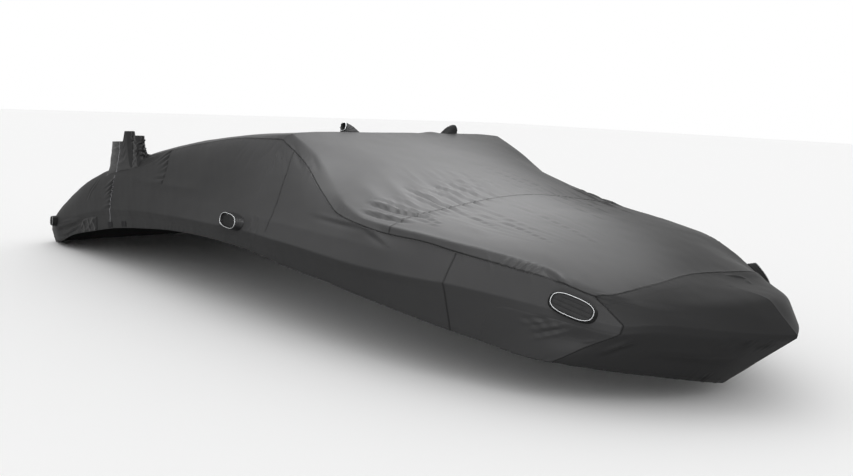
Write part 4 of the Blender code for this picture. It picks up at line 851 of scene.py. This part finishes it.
# sleeves: the stations they rise between, their upper place, and the middle and shape of their top
boots = (
    {"name": "aft", "from": 3.24, "to": 4.18, "high": 5.0, "x": 1.655, "y": 1.150, "z": 0.560,
     "length": 0.37, "width": 0.120, "slope": 0.06, "flap": 0.085, "drawIn": 0.45},
    {"name": "fore", "from": 4.18, "to": 4.42, "high": 4.5, "x": 1.966, "y": 1.148, "z": 0.625,
     "length": 0.118, "width": 0.078, "slope": 0.03, "flap": 0.0, "drawIn": 0.22},
)
bootForm = {
    "low": 3 + 2 / 3,        # the rim's lowest place on the section
    "rimLong": 0.2,
    "rimWide": 0.06,
    "flapFrom": 0.56,        # cosine from which the top's fore end stands up
    "flapRamp": 0.12,
    "foot": 0.12,            # share of the height with closer rows
    "footRows": 8,
    "rows": 52,
}
hem = {"roll": 0.0022, "depth": 0.028, "gap": 0.0035}

middleStation = (stations[:-1] + stations[1:]) / 2
middlePlace = (place[:-1] + place[1:]) / 2
middleSide = np.where((column[:-1] + column[1:]) / 2 <= crownPlace, -1, 1)
s, p = middleStation[:, None], middlePlace[None, :]
panelNumber = {name: number for number, name in enumerate(panelNames)}
sidePanel = np.where(s < seams["sideJoin"], panelNumber["side_aft_stbd"], panelNumber["side_fore_stbd"])
sidePanel = sidePanel + (middleSide[None, :] > 0)       # the port panel follows in the list
topPanel = np.where(s < seams["cross"], panelNumber["windshield_panel"], panelNumber["foredeck_panel"])
topPanel = np.where(s < seams["crest"], panelNumber["aft_top"], topPanel)
panelOf = np.where(p < seamPlace, sidePanel, topPanel)
panelOf = np.where(s > seams["cap"], panelNumber["bow_cap"], panelOf)
for boot in boots:
    inBoot = (s > boot["from"]) & (s < boot["to"]) & (p > bootForm["low"]) & (p < boot["high"])
    panelOf = np.where(inBoot, -1, panelOf)
order = np.arange(cloth.shape[0] * cloth.shape[1]).reshape(cloth.shape[:2])
quads = np.stack((order[:-1, :-1], order[1:, :-1], order[1:, 1:], order[:-1, 1:]), axis=2)
# painted shade: the colour darkens within a few millimetres of each seam, for the shadow in the seam's groove
paintedSeamShade = np.exp(-(fromSeam / 0.0042) ** 2).ravel()
allPoints, allNormals = cloth.reshape(-1, 3), normals.reshape(-1, 3)


# The turned hem below an edge: rows of points round it and up again behind the cloth.
def hemRoll(edge, inside, out):
    up = inside - edge
    up /= np.linalg.norm(up, axis=1, keepdims=True)
    return [edge - up * hem["roll"] * 0.7 - out * hem["roll"] * 0.3,
            edge - up * hem["roll"] - out * hem["roll"],
            edge - up * hem["roll"] * 0.3 - out * hem["gap"],
            edge + up * hem["depth"] * 0.5 - out * (hem["gap"] + 0.0006),
            edge + up * hem["depth"] - out * hem["gap"] * 0.6]


panels = {}
for number, name in enumerate(panelNames):
    faces = quads[panelOf == number]
    used, renumbered = np.unique(faces, return_inverse=True)
    faces = renumbered.reshape(faces.shape)
    vertices, shade = allPoints[used], paintedSeamShade[used]
    # each panel takes the tone of its painted light and shade: top, side or bow cap
    finish = "sideCloth" if name.startswith("side") else "capCloth" if name == "bow_cap" else "topCloth"
    if finish != "topCloth":         # the top panels have no hem
        rolled = []
        for hemColumn, nextColumn in ((0, 1), (-1, -2)):
            rows = np.where(np.append(panelOf[:, hemColumn] == number, False)
                            | np.insert(panelOf[:, hemColumn] == number, 0, False))[0]
            if len(rows) == 0:
                continue
            edgeIds = order[rows, hemColumn]
            edge, inside = allPoints[edgeIds], allPoints[order[rows, nextColumn]]
            rings = [edge] + hemRoll(edge, inside, allNormals[edgeIds])
            ids = [np.searchsorted(used, edgeIds)]
            for ring in rings[1:]:
                ids.append(len(vertices) + np.arange(len(rows)))
                vertices = np.vstack((vertices, ring))
                shade = np.concatenate((shade, np.zeros(len(rows))))
            for low, high in zip(ids, ids[1:]):
                band = np.stack((low[:-1], high[:-1], high[1:], low[1:]), axis=1)
                rolled.append(band if hemColumn == 0 else band[:, ::-1])
        faces = np.vstack([faces] + rolled)
    panels[name] = newPiece(name + "_sheet", vertices, faces, finish, (name,), shade)
print("panels are cut:", sum(len(panel.data.polygons) for panel in panels.values()), "faces")


# A piece from one grid of points; closed joins the last column to the first.
def clothGridPiece(name, grid, shade, finish, stands, flip=False, closed=False):
    rows, columns = grid.shape[:2]
    ids = np.arange(rows * columns).reshape(rows, columns)
    right = np.roll(ids, -1, axis=1)
    last = columns if closed else columns - 1
    faces = np.stack((ids[:-1], right[:-1], right[1:], ids[1:]), axis=2)[:, :last].reshape(-1, 4)
    faces = faces[:, ::-1] if flip else faces
    return newPiece(name, grid.reshape(-1, 3), faces, finish, stands, shade)


# the stern panel
stern = {"bulge": 0.05, "fullAt": 1 / 1.4, "shadeWidth": 0.003}
upper = np.where(place >= 2 - 1e-6)[0]
leftEdge = cloth[0, np.where(column <= 2 + 1e-6)[0][::-1]]
rightEdge = cloth[0, np.where(column >= 12 - 1e-6)[0]]
across = cloth[0, upper]
share = ((across[:, 1] - across[0, 1]) / (across[-1, 1] - across[0, 1]))[:, None]
sternRows = [across]
for r in range(1, len(leftEdge)):
    drop = r / (len(leftEdge) - 1)
    foot = leftEdge[-1] + share * (rightEdge[-1] - leftEdge[-1])
    row = across * (1 - drop) + foot * drop
    row += (leftEdge[r] - leftEdge[0]) * (1 - share) + (rightEdge[r] - rightEdge[0]) * share
    row -= ((leftEdge[-1] - leftEdge[0]) * (1 - share) + (rightEdge[-1] - rightEdge[0]) * share) * drop
    fullness = math.sin(0.5 * math.pi * min(drop / stern["fullAt"], 1.0))
    row[:, 0] -= stern["bulge"] * np.sqrt(np.sin(math.pi * np.clip(share[:, 0], 0, 1))) * fullness
    row[0], row[-1] = leftEdge[r], rightEdge[r]
    sternRows.append(row)
sternGrid = np.array(sternRows)
drops = np.linspace(0, 1, len(sternGrid))[:, None]
inner = np.sin(math.pi * np.clip(share[:, 0], 0, 1)) ** 0.5
hang = np.broadcast_to(acrossRuns[0, upper] - acrossRuns[0, upper[0]], sternGrid.shape[:2])
fall = drops * np.linalg.norm(sternGrid[-1] - sternGrid[0], axis=1)[None, :]
sternLift = puckerLift(hang, fall, hang.max(), seamStyle["sternEdge"])
sternLift = sternLift + puckerLift(hang, fall.max(axis=0) - fall, hang.max(), seamStyle["hemEdge"])
sternGrid[..., 0] -= sternLift * inner
sternNormals = gridNormals(sternGrid)
turn = np.sign(-sternNormals[..., 0].mean())
rolled = hemRoll(sternGrid[-1], sternGrid[-2], sternNormals[-1] * turn)
rolled.pop(3)              # no row halfway up behind
sternGrid = np.concatenate((sternGrid, rolled))
fall = np.concatenate((fall, np.ones((len(rolled), fall.shape[1]))))
# painted shade: the colour darkens along the seam at the stern panel's top
shade = np.exp(-(fall / stern["shadeWidth"]) ** 2).ravel()
clothGridPiece("stern_panel_sheet", sternGrid, shade, "sideCloth", ("stern_panel",), turn > 0)

# the outer face as one tree, for what is sewn on it
skinTree = BVHTree.FromPolygons([Vector(q) for q in allPoints], quads[panelOf >= 0].tolist())


# The place on the cloth seen from a point along toward.
def land(point, toward):
    toward = Vector(toward).normalized()
    spot, normal, _, _ = skinTree.ray_cast(Vector(point) - toward * 0.25, toward)
    return np.array(spot), np.array(normal)


# sleeves that stand open at the top
crumples = {
    # folds: how far up, how tight, and their slant
    "aft": {"height": 0.0060, "folds": ((0.15, 9, 1.3), (0.33, 14, -0.8), (0.52, 11, 2.1), (0.74, 17, 0.6))},
    "fore": {"height": 0.0085,
             "folds": ((0.20, 16, 2.2), (0.38, 22, -1.6), (0.55, 19, 0.9), (0.75, 25, -2.4))},
}
bootTop = {"roll": 0.0022, "turn": 0.030}


def makeBoot(boot, hand, handName):
    rows = np.where((stations > boot["from"] - 1e-6) & (stations < boot["to"] + 1e-6))[0]
    columns = np.where((place > bootForm["low"] - 1e-4) & (place < boot["high"] + 1e-4) & (side == hand))[0]
    if hand > 0:
        columns = columns[::-1]
    loop = [(rows[0], c) for c in columns] + [(r, columns[-1]) for r in rows[1:]]
    loop += [(rows[-1], c) for c in columns[-2::-1]] + [(r, columns[0]) for r in rows[-2:0:-1]]
    rim = np.array([cloth[i, j] for i, j in loop])
    middle = rim.mean(axis=0)
    topMiddle = np.array((boot["x"], hand * boot["y"], boot["z"]))
    angle = np.arctan2((rim[:, 1] - middle[1]) / bootForm["rimWide"],
                       (rim[:, 0] - middle[0]) / bootForm["rimLong"])
    top = topMiddle + np.stack((0.5 * boot["length"] * np.cos(angle), 0.5 * boot["width"] * np.sin(angle),
                                boot["slope"] * 0.5 * boot["length"] * np.cos(angle)), axis=1)
    top[:, 2] += boot["flap"] * np.clip((np.cos(angle) - bootForm["flapFrom"]) / bootForm["flapRamp"], 0, 1)
    rises = np.concatenate((np.linspace(0, bootForm["foot"], bootForm["footRows"] + 1)[:-1],
                            np.linspace(bootForm["foot"], 1, bootForm["rows"])))
    rings = []
    for rise in rises:
        draw = rise ** boot["drawIn"]
        ring = rim * (1 - draw) + top * draw
        ring[:, 2] = rim[:, 2] * (1 - rise) + top[:, 2] * rise
        axis = middle * (1 - draw) + topMiddle * draw
        way = (ring - axis) * (1, 1, 0)
        way /= np.linalg.norm(way, axis=1, keepdims=True)
        wave = 0.0
        for at, turns, slant in crumples[boot["name"]]["folds"]:
            centre = at + 0.05 * np.sin(angle * 2 + turns) + 0.02 * np.sin(5 * angle + slant)
            u = (rise - centre) * turns
            strength = 0.55 + 0.45 * np.sin(angle * (1.5 + 0.1 * turns) + slant)
            wave = wave + strength * (np.exp(-u ** 2) - 0.6 * np.exp(-(u - 1.3) ** 2))
        fine = np.sin(7 * angle + 9 * rise) * np.sin(23 * rise + 3 * angle) * 0.25
        wave = (wave + fine) * crumples[boot["name"]]["height"]
        wave = wave * min(rise / 0.08, 1) * min((1 - rise) / 0.06, 1)     # none at the rim and the top
        rings.append(ring + way * np.reshape(wave, (-1, 1)))
    inward = (topMiddle - rings[-1]) * (1, 1, 0)
    inward /= np.linalg.norm(inward, axis=1, keepdims=True)
    down = np.array((0, 0, -1.0))
    edge = rings[-1]
    rings += [edge - down * bootTop["roll"] * 0.8 + inward * bootTop["roll"] * 0.4,
              edge - down * bootTop["roll"] + inward * bootTop["roll"],
              edge + inward * bootTop["roll"] * 1.6,
              edge + down * bootTop["turn"] + inward * bootTop["roll"] * 1.7]
    grid = np.array(rings)
    shade = np.zeros(grid.shape[:2])
    shade[:3] = np.array((1.0, 0.6, 0.2))[:, None]          # painted shade where it is sewn on
    name = f"boot_{boot['name']}_{handName}"
    clothGridPiece(name + "_sleeve", grid, shade.ravel(), "bootCloth", (name,),
                   flip=hand < 0, closed=True)
    return grid


bootGrids = {}
for boot in boots:
    for hand, handName in ((-1, "stbd"), (1, "port")):
        bootGrids[boot["name"], hand] = makeBoot(boot, hand, handName)
print("stern panel and sleeves are made")

# vents: where they sit, their size, and how far the mouth stands out
vents = (
    {"name": "bow", "x": 6.45, "z": 0.012, "y": 0.90, "long": 0.262, "wide": 0.116,
     "rise": 0.040, "tilt": 0.0, "fall": 6, "slant": 0.0, "deep": 0.009},
    {"name": "side", "x": 3.78, "z": 0.140, "y": 1.30, "long": 0.275, "wide": 0.112,
     "rise": 0.056, "tilt": 0.0, "fall": 4, "slant": 0.35, "deep": 0.009},
    {"name": "stern", "x": 0.37, "z": -0.270, "y": 1.30, "long": 0.200, "wide": 0.100,
     "rise": 0.034, "tilt": 0.0, "fall": 0, "slant": 0.0, "deep": 0.009},
    {"name": "top", "x": 3.978, "z": 0.90, "y": 0.472, "long": 0.082, "wide": 0.148,
     "rise": 0.080, "tilt": 1.0, "fall": 0, "slant": 0.0, "deep": 0.020},
)
ventForm = {"level": 0.5, "sides": 72, "wall": 0.003, "square": 2.7, "drawIn": 0.87, "lean": 0.75,
            "swell": 0.011, "piping": 0.0016, "gap": 0.0004,
            "sewn": 0.0012, "brim": 0.0025, "ribRings": 15, "ribs": (0.10, 0.93), "ribHeight": 0.0009,
            "faceRings": (0.10, 0.25, 0.5, 0.75, 0.995),
            "slats": 4, "slatShare": 0.42, "slatSpan": 0.94, "slatRise": 0.0025, "slatSink": 0.0003}


def turnedFaces(ringCount, sides):
    ids = np.arange(ringCount * sides).reshape(ringCount, sides)
    right = np.roll(ids, -1, axis=1)
    return np.stack((ids[:-1], right[:-1], right[1:], ids[1:]), axis=2).reshape(-1, 4)


def makeVent(vent, hand, handName):
    toward = np.array((0, 0, -1.0)) if vent["tilt"] else np.array((0, -hand * 1.0, 0))
    centre, out = land((vent["x"], hand * vent["y"], vent["z"]), toward)
    if not vent["tilt"]:
        out = out * (1, 1, 1 - ventForm["level"])
    out = out / np.linalg.norm(out)
    fall = math.radians(vent["fall"])
    fore = np.array((math.cos(fall), 0, -math.sin(fall)))
    fore -= out * (fore @ out)
    fore /= np.linalg.norm(fore)
    up = np.cross(out, fore) * (1 if hand < 0 else -1)
    if vent["tilt"]:
        up = np.cross(fore, out) * -hand
    a, b = 0.5 * vent["long"], 0.5 * vent["wide"]
    angle = np.linspace(0, 2 * math.pi, ventForm["sides"], endpoint=False)[:, None]
    alongs = np.sign(np.cos(angle)) * np.abs(np.cos(angle)) ** (2 / ventForm["square"])
    acrosses = np.sign(np.sin(angle)) * np.abs(np.sin(angle)) ** (2 / ventForm["square"])

    def oval(size, thin=0.0):
        return centre + fore * (size * a - thin) * alongs + up * (size * b - thin) * acrosses

    def foot(thin):
        return np.array([land(q, -out)[0] for q in oval(1.0, thin)]) + out * ventForm["sewn"]

    rise = vent["rise"] * (1 - vent["tilt"] * (0.5 + 0.36 * acrosses))
    rise = rise * (1 - vent["slant"] * 0.5 * (1 - alongs))
    lean = vent["tilt"] * ventForm["lean"] * b * (1 - acrosses)
    mouth = oval(ventForm["drawIn"]) + out * rise + up * lean
    middle = mouth.mean(axis=0)
    quarter = ventForm["sides"] // 4
    faceOut = np.cross(mouth[0] - middle, mouth[quarter] - middle)
    faceOut *= np.sign(faceOut @ (out + up)) / np.linalg.norm(faceOut)
    reach = np.linalg.norm(mouth - middle, axis=1)[:, None]

    def shrink(by, deep):
        return mouth + (middle - mouth) / reach * by - faceOut * deep

    wall = ventForm["wall"]
    low = foot(0.0)
    rings = [foot(wall), low, low + out * ventForm["brim"]]
    for number, t in enumerate(np.linspace(*ventForm["ribs"], ventForm["ribRings"])):
        rib = ventForm["ribHeight"] * math.sin(number * math.pi / 2)
        swell = ventForm["swell"] * vent["tilt"] * math.sin(math.pi * t) * 0.5 * (1 - acrosses)
        ring = low * (1 - t) + mouth * t + out * swell
        way = ring - ring.mean(axis=0)
        way /= np.linalg.norm(way, axis=1, keepdims=True)
        rings.append(ring + way * rib)
    rings += [mouth - faceOut * 0.001, mouth + (middle - mouth) / reach * wall * 0.5, shrink(wall, 0.0),
              shrink(1.3 * wall, 0.002), shrink(1.4 * wall, vent["deep"])]
    deep = vent["deep"]
    for inset in ventForm["faceRings"]:
        bottom = middle - faceOut * deep
        rings.append(bottom + (shrink(1.4 * wall, deep) - bottom) * (1 - inset))
    grid = np.array(rings)
    faces = turnedFaces(len(grid), ventForm["sides"])
    probe = grid[6] - grid[6].mean(axis=0)
    quad = grid[5, 1] - grid[5, 0], grid[6, 0] - grid[5, 0]
    if np.cross(*quad) @ probe[0] < 0:
        faces = faces[:, ::-1]
    name = f"vent_{vent['name']}_{handName}"
    newPiece(name + "_hood", grid.reshape(-1, 3), faces, "ventPlastic", (name,))

    line = shrink(0.5 * wall, -ventForm["piping"] - ventForm["gap"])
    along = np.roll(line, -1, axis=0) - np.roll(line, 1, axis=0)
    along /= np.linalg.norm(along, axis=1, keepdims=True)
    sideways = np.cross(along, faceOut)
    tube = []
    for turned in np.linspace(0, 2 * math.pi, 10, endpoint=False):
        tube.append(line + ventForm["piping"] * (math.cos(turned) * faceOut + math.sin(turned) * sideways))
    tube = np.array(tube + tube[:1])
    name = f"piping_{vent['name']}_{handName}"
    newPiece(name + "_cord", tube.reshape(-1, 3), turnedFaces(len(tube), ventForm["sides"])[:, ::-1],
             "pipingPlastic", (name,))

    # slats across the recessed face
    vertices, slatFaces = [], []
    mouthWide = b * ventForm["drawIn"] - 1.6 * wall
    ends = shrink(1.5 * wall, deep)
    for number in range(ventForm["slats"]):
        at = (number + 0.5) / ventForm["slats"] * 2 - 1
        span = math.sqrt(1 - at ** 2) * ventForm["slatSpan"]
        wide = 2 * mouthWide / ventForm["slats"] * ventForm["slatShare"]
        longWay = (ends[0] - middle) - faceOut * ((ends[0] - middle) @ faceOut)
        wideWay = (ends[quarter] - middle) - faceOut * ((ends[quarter] - middle) @ faceOut)
        wideUnit = wideWay / np.linalg.norm(wideWay)
        base = middle - faceOut * (deep - ventForm["slatSink"]) + wideWay * at
        for reachAlong in (-span, span):
            for w, h in ((-1, 0.0), (-0.5, ventForm["slatRise"]), (1, 0.0)):
                vertices.append(base + longWay * reachAlong + wideUnit * wide * w + faceOut * h)
        n = 6 * number
        slatFaces += [(n, n + 3, n + 4, n + 1), (n + 1, n + 4, n + 5, n + 2)]
    name = f"vent_{vent['name']}_{handName}_slats"
    newPiece(name, vertices, slatFaces, "ventPlastic")


for vent in vents:
    for hand, handName in ((-1, "stbd"), (1, "port")):
        makeVent(vent, hand, handName)
print("vents are made")

# patches and straps
patches = (
    {"name": "wear_patch", "from": 15.75, "to": 18, "arc": 0.22, "lift": 0.0020, "crumple": 0.0008,
     "crumples": ((0.4, 14.0), (1.9, 9.0))},
    {"name": "stern_patch", "from": 2.43, "to": 3.24, "arc": 0.0, "lift": 0.0030, "crumple": 0.0050,
     "crumples": ((0.3, 21.0), (1.1, 13.0), (2.2, 17.0))},
)
patchForm = {"along": 150, "across": 40, "top": 0.985, "endAft": 0.004, "endFore": 0.012,
             "slit": 0.0004, "turnedIn": 0.0015}
for patch in patches:
    for hand, handName in ((-1, "stbd"), (1, "port")):
        u = np.linspace(0, 1, patchForm["along"])
        limit = np.full(len(u), patchForm["top"])
        if patch["arc"]:
            limit *= np.sqrt(np.clip(1 - np.clip(1 - u / patch["arc"], 0, 1) ** 2, 0.01, 1))
        else:
            limit *= np.clip(0.72 + u / 0.18 * 0.28, 0, 1)
        v = np.linspace(0, 1, patchForm["across"])[:, None]
        span = patch["to"] - patchForm["endFore"] - patch["from"]
        at = patch["from"] + patchForm["endAft"] + span * u
        atColumn = v * limit[None, :]
        atColumn = atColumn if hand < 0 else portHem - atColumn
        atStation = np.broadcast_to(at, atColumn.shape)
        flat, out = gridAt(cloth, atStation, atColumn), gridAt(normals, atStation, atColumn)
        border = np.minimum(np.minimum(u, 1 - u)[None, :] / 0.012, (1 - v) / 0.03 * np.ones_like(u))
        height = patch["lift"] * np.clip(border, 0, 1) ** 0.4 + patchForm["slit"]
        for way, turns in patch["crumples"]:
            wave = np.sin(turns * (u[None, :] * math.cos(way) + 0.5 * v * math.sin(way)) + 5 * way)
            height = height + patch["crumple"] * np.clip(0.25 * border, 0, 1) * (0.5 + 0.5 * wave) ** 3
        grid = flat + out * height[..., None]
        drop = np.concatenate((flat[:1] - out[:1] * patchForm["turnedIn"] + (flat[:1] - flat[1:2]) * 0.35,
                               flat[:1] + out[:1] * 0.0008 + (flat[:1] - flat[1:2]) * 0.5))
        grid = np.concatenate((drop, grid))
        name = f"{patch['name']}_{handName}"
        flatShade = np.zeros(grid[..., 0].size)
        clothGridPiece(name + "_sheet", grid, flatShade, "patchCloth", (name,), hand > 0)

straps = {"at": (1.69, 1.98), "width": 0.100, "length": 0.055, "thick": 0.0022, "gap": 0.0004}
for number, x in enumerate(straps["at"], start=1):
    for hand, handName in ((-1, "stbd"), (1, "port")):
        hemLine = cloth[:-1, 0 if hand < 0 else -1]
        rings = []
        for share in np.linspace(0.12, 1.0, 14):
            row = []
            for across in np.linspace(-0.5, 0.5, 16):
                along = x + across * straps["width"]
                z = np.interp(along, hemLine[:, 0], hemLine[:, 2]) + share * straps["length"]
                spot, out = land((along, hand * rail["halfBeam"], z), (0, -hand, 0))
                row.append(spot + out * (straps["gap"] + straps["thick"]))
            rings.append(row)
        outer = np.array(rings)
        back = gridNormals(outer)
        back *= -np.sign(back[..., 1:2] * hand)
        back = back * straps["thick"]
        rim = np.concatenate((outer[:1] + back[:1], outer, outer[-1:] + back[-1:]))
        back = np.pad(back, ((1, 1), (0, 0), (0, 0)), mode="edge")
        rim = np.concatenate((rim[:, :1] + back[:, :1], rim, rim[:, -1:] + back[:, -1:]), axis=1)
        name = f"strap_tab_{number}_{handName}"
        flatShade = np.zeros(rim[..., 0].size)
        clothGridPiece(name + "_web", rim, flatShade, "webbing", (name,), hand > 0)
print("patches and straps are made")

# thread
sleevePoints, sleeveFaces = [], []
for grid in bootGrids.values():
    ids = np.arange(grid.shape[0] * grid.shape[1]).reshape(grid.shape[:2]) + sum(len(q) for q in sleevePoints)
    right = np.roll(ids, -1, axis=1)
    sleeveFaces += np.stack((ids[:-1], right[:-1], right[1:], ids[1:]), axis=2).reshape(-1, 4).tolist()
    sleevePoints.append(grid.reshape(-1, 3))
sleeveTree = BVHTree.FromPolygons([Vector(q) for q in np.vstack(sleevePoints)], sleeveFaces)


stitchForm = {"sunk": 0.0004, "tip": 0.75, "top": 0.5}      # how deep it lies; the top's share of the base


# Boxes of thread along a line on the cloth: one stitch for each pitch, zigzag if it swings.
def stitches(tree, line, row):
    line = np.asarray(line, float)
    runs = np.concatenate(([0.0], np.cumsum(np.linalg.norm(np.diff(line, axis=0), axis=1))))
    at = np.arange(row["pitch"] / 2, runs[-1], row["pitch"])
    spots = np.stack([np.interp(at, runs, line[:, k]) for k in range(3)], axis=1)
    ways = np.gradient(spots, axis=0)
    boxes = []
    for number, (spot, way) in enumerate(zip(spots, ways)):
        way = way / np.linalg.norm(way)
        for offset in row["offsets"]:
            found, normal, _, _ = tree.find_nearest(Vector(spot))
            if found is None:
                continue
            normal = np.array(normal)
            across = np.cross(normal, way)
            across /= np.linalg.norm(across)
            found, normal, _, _ = tree.find_nearest(Vector(np.array(found) + across * offset))
            found, normal = np.array(found), np.array(normal)
            if normal @ np.array((0, np.sign(found[1]), 0.6)) < 0:
                normal = -normal
            turn = row["swing"] * (1 if number % 2 else -1)
            run = way * math.cos(turn) + across * math.sin(turn)
            run -= normal * (run @ normal)
            run /= np.linalg.norm(run)
            wide = np.cross(normal, run) * row["width"] / 2
            run = run * row["length"] / 2
            low, high = found - normal * stitchForm["sunk"], found + normal * row["height"]
            tip, edge = stitchForm["tip"] * run, stitchForm["top"] * wide
            boxes.append([low - run - wide, low + run - wide, low + run + wide, low - run + wide,
                          high - tip - edge, high + tip - edge, high + tip + edge, high - tip + edge])
    return np.array(boxes).reshape(-1, 8, 3)


def threadPiece(name, boxes, material):
    boxes = np.concatenate(boxes)
    faces = np.array(((4, 5, 6, 7), (0, 1, 5, 4), (1, 2, 6, 5), (2, 3, 7, 6), (3, 0, 4, 7)))
    faces = (faces[None] + 8 * np.arange(len(boxes))[:, None, None]).reshape(-1, 4)
    return newPiece(name, boxes.reshape(-1, 3), faces, material)


plainRow = {"pitch": 0.0085, "length": 0.0060, "width": 0.0014, "height": 0.0008, "swing": 0.0,
            "offsets": (-0.0065, 0.0065)}
hemRow = {**plainRow, "offsets": (0.0,)}
zigzagRow = {"pitch": 0.0070, "length": 0.0160, "width": 0.0026, "height": 0.0016, "swing": 1.05,
             "offsets": (0.0,)}
# the thread that runs down from the aft sleeve
legLine = ((1.71, -1.21, 0.56), (1.71, -1.21, 0.48), (1.67, -1.20, 0.39),
           (1.635, -1.205, 0.30), (1.63, -1.21, 0.27))
for hand, handName in ((-1, "stbd"), (1, "port")):
    seamColumn = columnOf(seamPlace, hand)
    last = rowOf(seams["cap"])
    joinRow, joinEnd = rowOf(seams["sideJoin"]), columnOf(0, hand)
    joinLine = cloth[joinRow, min(seamColumn, joinEnd):max(seamColumn, joinEnd) + 1]
    hemLine = cloth[:-1, columnOf(0.10, hand)]
    mirror = np.array((1, -hand, 1))
    shoulder = np.array([row["line"] for row in sewnLines if row["name"] == "shoulderSeam"][0]) * mirror
    base = np.array([row["line"] for row in sewnLines if row["name"] == "sleeveBase"][0]) * mirror
    closing = np.vstack([row["line"] for row in sewnLines if row["name"].startswith("closing")]) * mirror
    sideLine = cloth[:last + 1, seamColumn]
    threadPiece(f"side_seam_{handName}_thread", [stitches(skinTree, sideLine, plainRow)], "thread")
    threadPiece(f"side_join_{handName}_thread", [stitches(skinTree, joinLine, plainRow),
                                                 stitches(skinTree, shoulder, hemRow),
                                                 stitches(skinTree, base, hemRow)], "thread")
    threadPiece(f"hem_{handName}_thread", [stitches(skinTree, hemLine, hemRow)], "thread")
    leg = np.array(legLine) * mirror
    threadPiece(f"closing_{handName}_thread", [stitches(sleeveTree, leg, zigzagRow),
                                               stitches(skinTree, closing, zigzagRow)], "paleThread")
crossRow, capRow = rowOf(seams["cross"]), rowOf(seams["cap"])
crossLine = cloth[crossRow, columnOf(seamPlace, -1):columnOf(seamPlace, 1) + 1]
threadPiece("cross_seam_thread", [stitches(skinTree, crossLine, plainRow)], "thread")
threadPiece("cap_seam_thread", [stitches(skinTree, cloth[capRow], plainRow)], "thread")
print("thread is sewn")

# light, floor and camera
view = {"focal": 946.454, "place": (5.44312, -4.45809, 0.21986), "yaw": 2.42803361, "pitch": -0.140667254,
        "roll": 0.0424322487, "frameWidth": 853, "sensor": 36.0}
cameraData = bpy.data.cameras.new("camera")
cameraData.sensor_width = view["sensor"]
cameraData.lens = view["sensor"] * view["focal"] / view["frameWidth"]
cameraData.clip_end = 100
camera = bpy.data.objects.new("camera", cameraData)
bpy.context.scene.collection.objects.link(camera)
level = math.cos(view["pitch"])
forward = Vector((level * math.cos(view["yaw"]), level * math.sin(view["yaw"]), math.sin(view["pitch"])))
right = forward.cross(Vector((0, 0, 1))).normalized()
upward = right.cross(forward)
cosRoll, sinRoll = math.cos(view["roll"]), math.sin(view["roll"])
turned = Matrix((cosRoll * right + sinRoll * upward, cosRoll * upward - sinRoll * right, -forward))
camera.matrix_world = Matrix.Translation(view["place"]) @ turned.transposed().to_4x4()
bpy.context.scene.camera = camera

world = bpy.data.worlds.new("studio")
bpy.context.scene.world = world
world.use_nodes = True
world.node_tree.nodes["Background"].inputs["Color"].default_value = (1.0, 1.0, 1.0, 1)
world.node_tree.nodes["Background"].inputs["Strength"].default_value = 1.0
bpy.context.scene.view_settings.view_transform = "Standard"

lamps = (
    # two soft pools on the slope and the foredeck, from ahead, above and to port
    {"name": "pool", "kind": "SPOT", "place": (2.3, 1.3, 2.2), "aim": (0.75, -0.6, -0.15), "size": 0.2,
     "power": 1650.0, "cone": 50.0},
    {"name": "poolFore", "kind": "SPOT", "place": (2.8, 1.3, 1.9), "aim": (1.6, -0.75, -0.45), "size": 0.2,
     "power": 1250.0, "cone": 42.0},
    {"name": "front", "kind": "SPOT", "place": (2.9, -0.7, 2.4), "aim": (1.0, -0.8, -0.3), "size": 0.35,
     "power": 1250.0, "cone": 52.0},
    {"name": "top", "kind": "SPOT", "place": (1.2, -1.2, 3.0), "aim": (0.2, -0.6, 0.0), "size": 0.5,
     "power": 1300.0, "cone": 60.0},
    {"name": "bow", "kind": "AREA", "place": (4.2, -3.5, 2.0), "aim": (2.4, -0.8, -0.7), "size": 1.5,
     "power": 215.0, "cone": 0.0},
    {"name": "low", "kind": "AREA", "place": (4.0, -3.0, -1.15), "aim": (2.5, -0.5, -0.95), "size": 1.0,
     "power": 110.0, "cone": 0.0},
    {"name": "quarter", "kind": "AREA", "place": (-1.5, -4.0, 3.0), "aim": (-1.0, -1.2, -0.3), "size": 2.0,
     "power": 25.0, "cone": 0.0},
    {"name": "fill", "kind": "AREA", "place": (-3.0, 4.0, 3.5), "aim": (-1.8, 0.3, -0.6), "size": 2.5,
     "power": 60.0, "cone": 0.0},
)
# the lamps light the cover alone, so the floor stays as even as the backdrop
lit = bpy.data.collections.new("lit")
for piece in list(bpy.context.scene.objects):
    if piece.type == "MESH":
        lit.objects.link(piece)
for lamp in lamps:
    data = bpy.data.lights.new(lamp["name"], lamp["kind"])
    data.energy = lamp["power"]
    if lamp["kind"] == "SPOT":
        data.spot_size, data.spot_blend = math.radians(lamp["cone"]), 1.0
        data.shadow_soft_size = lamp["size"]
    else:
        data.size = lamp["size"]
    made = bpy.data.objects.new(lamp["name"], data)
    made.location = lamp["place"]
    made.rotation_euler = (Vector(lamp["aim"]) - Vector(lamp["place"])).to_track_quat("-Z", "Y").to_euler()
    made.visible_camera = False
    made.light_linking.receiver_collection = lit
    bpy.context.scene.collection.objects.link(made)

backdrop = {"z": -1.2733, "reach": 60.0, "colour": (0.92, 0.92, 0.92, 1), "rough": 0.9}
floorMaterial = bpy.data.materials.new("floor")
floorMaterial.use_nodes = True
floorShader = floorMaterial.node_tree.nodes["Principled BSDF"]
floorShader.inputs["Base Color"].default_value = backdrop["colour"]
floorShader.inputs["Roughness"].default_value = backdrop["rough"]
floorData = bpy.data.meshes.new("floor")
far = backdrop["reach"]
corners = [(x, y, backdrop["z"]) for x, y in ((-far, -far), (far, -far), (far, far), (-far, far))]
floorData.from_pydata(corners, [], [(0, 1, 2, 3)])
floorData.materials.append(floorMaterial)
floor = bpy.data.objects.new("floor", floorData)
bpy.context.scene.collection.objects.link(floor)
print("camera, light and floor are set")
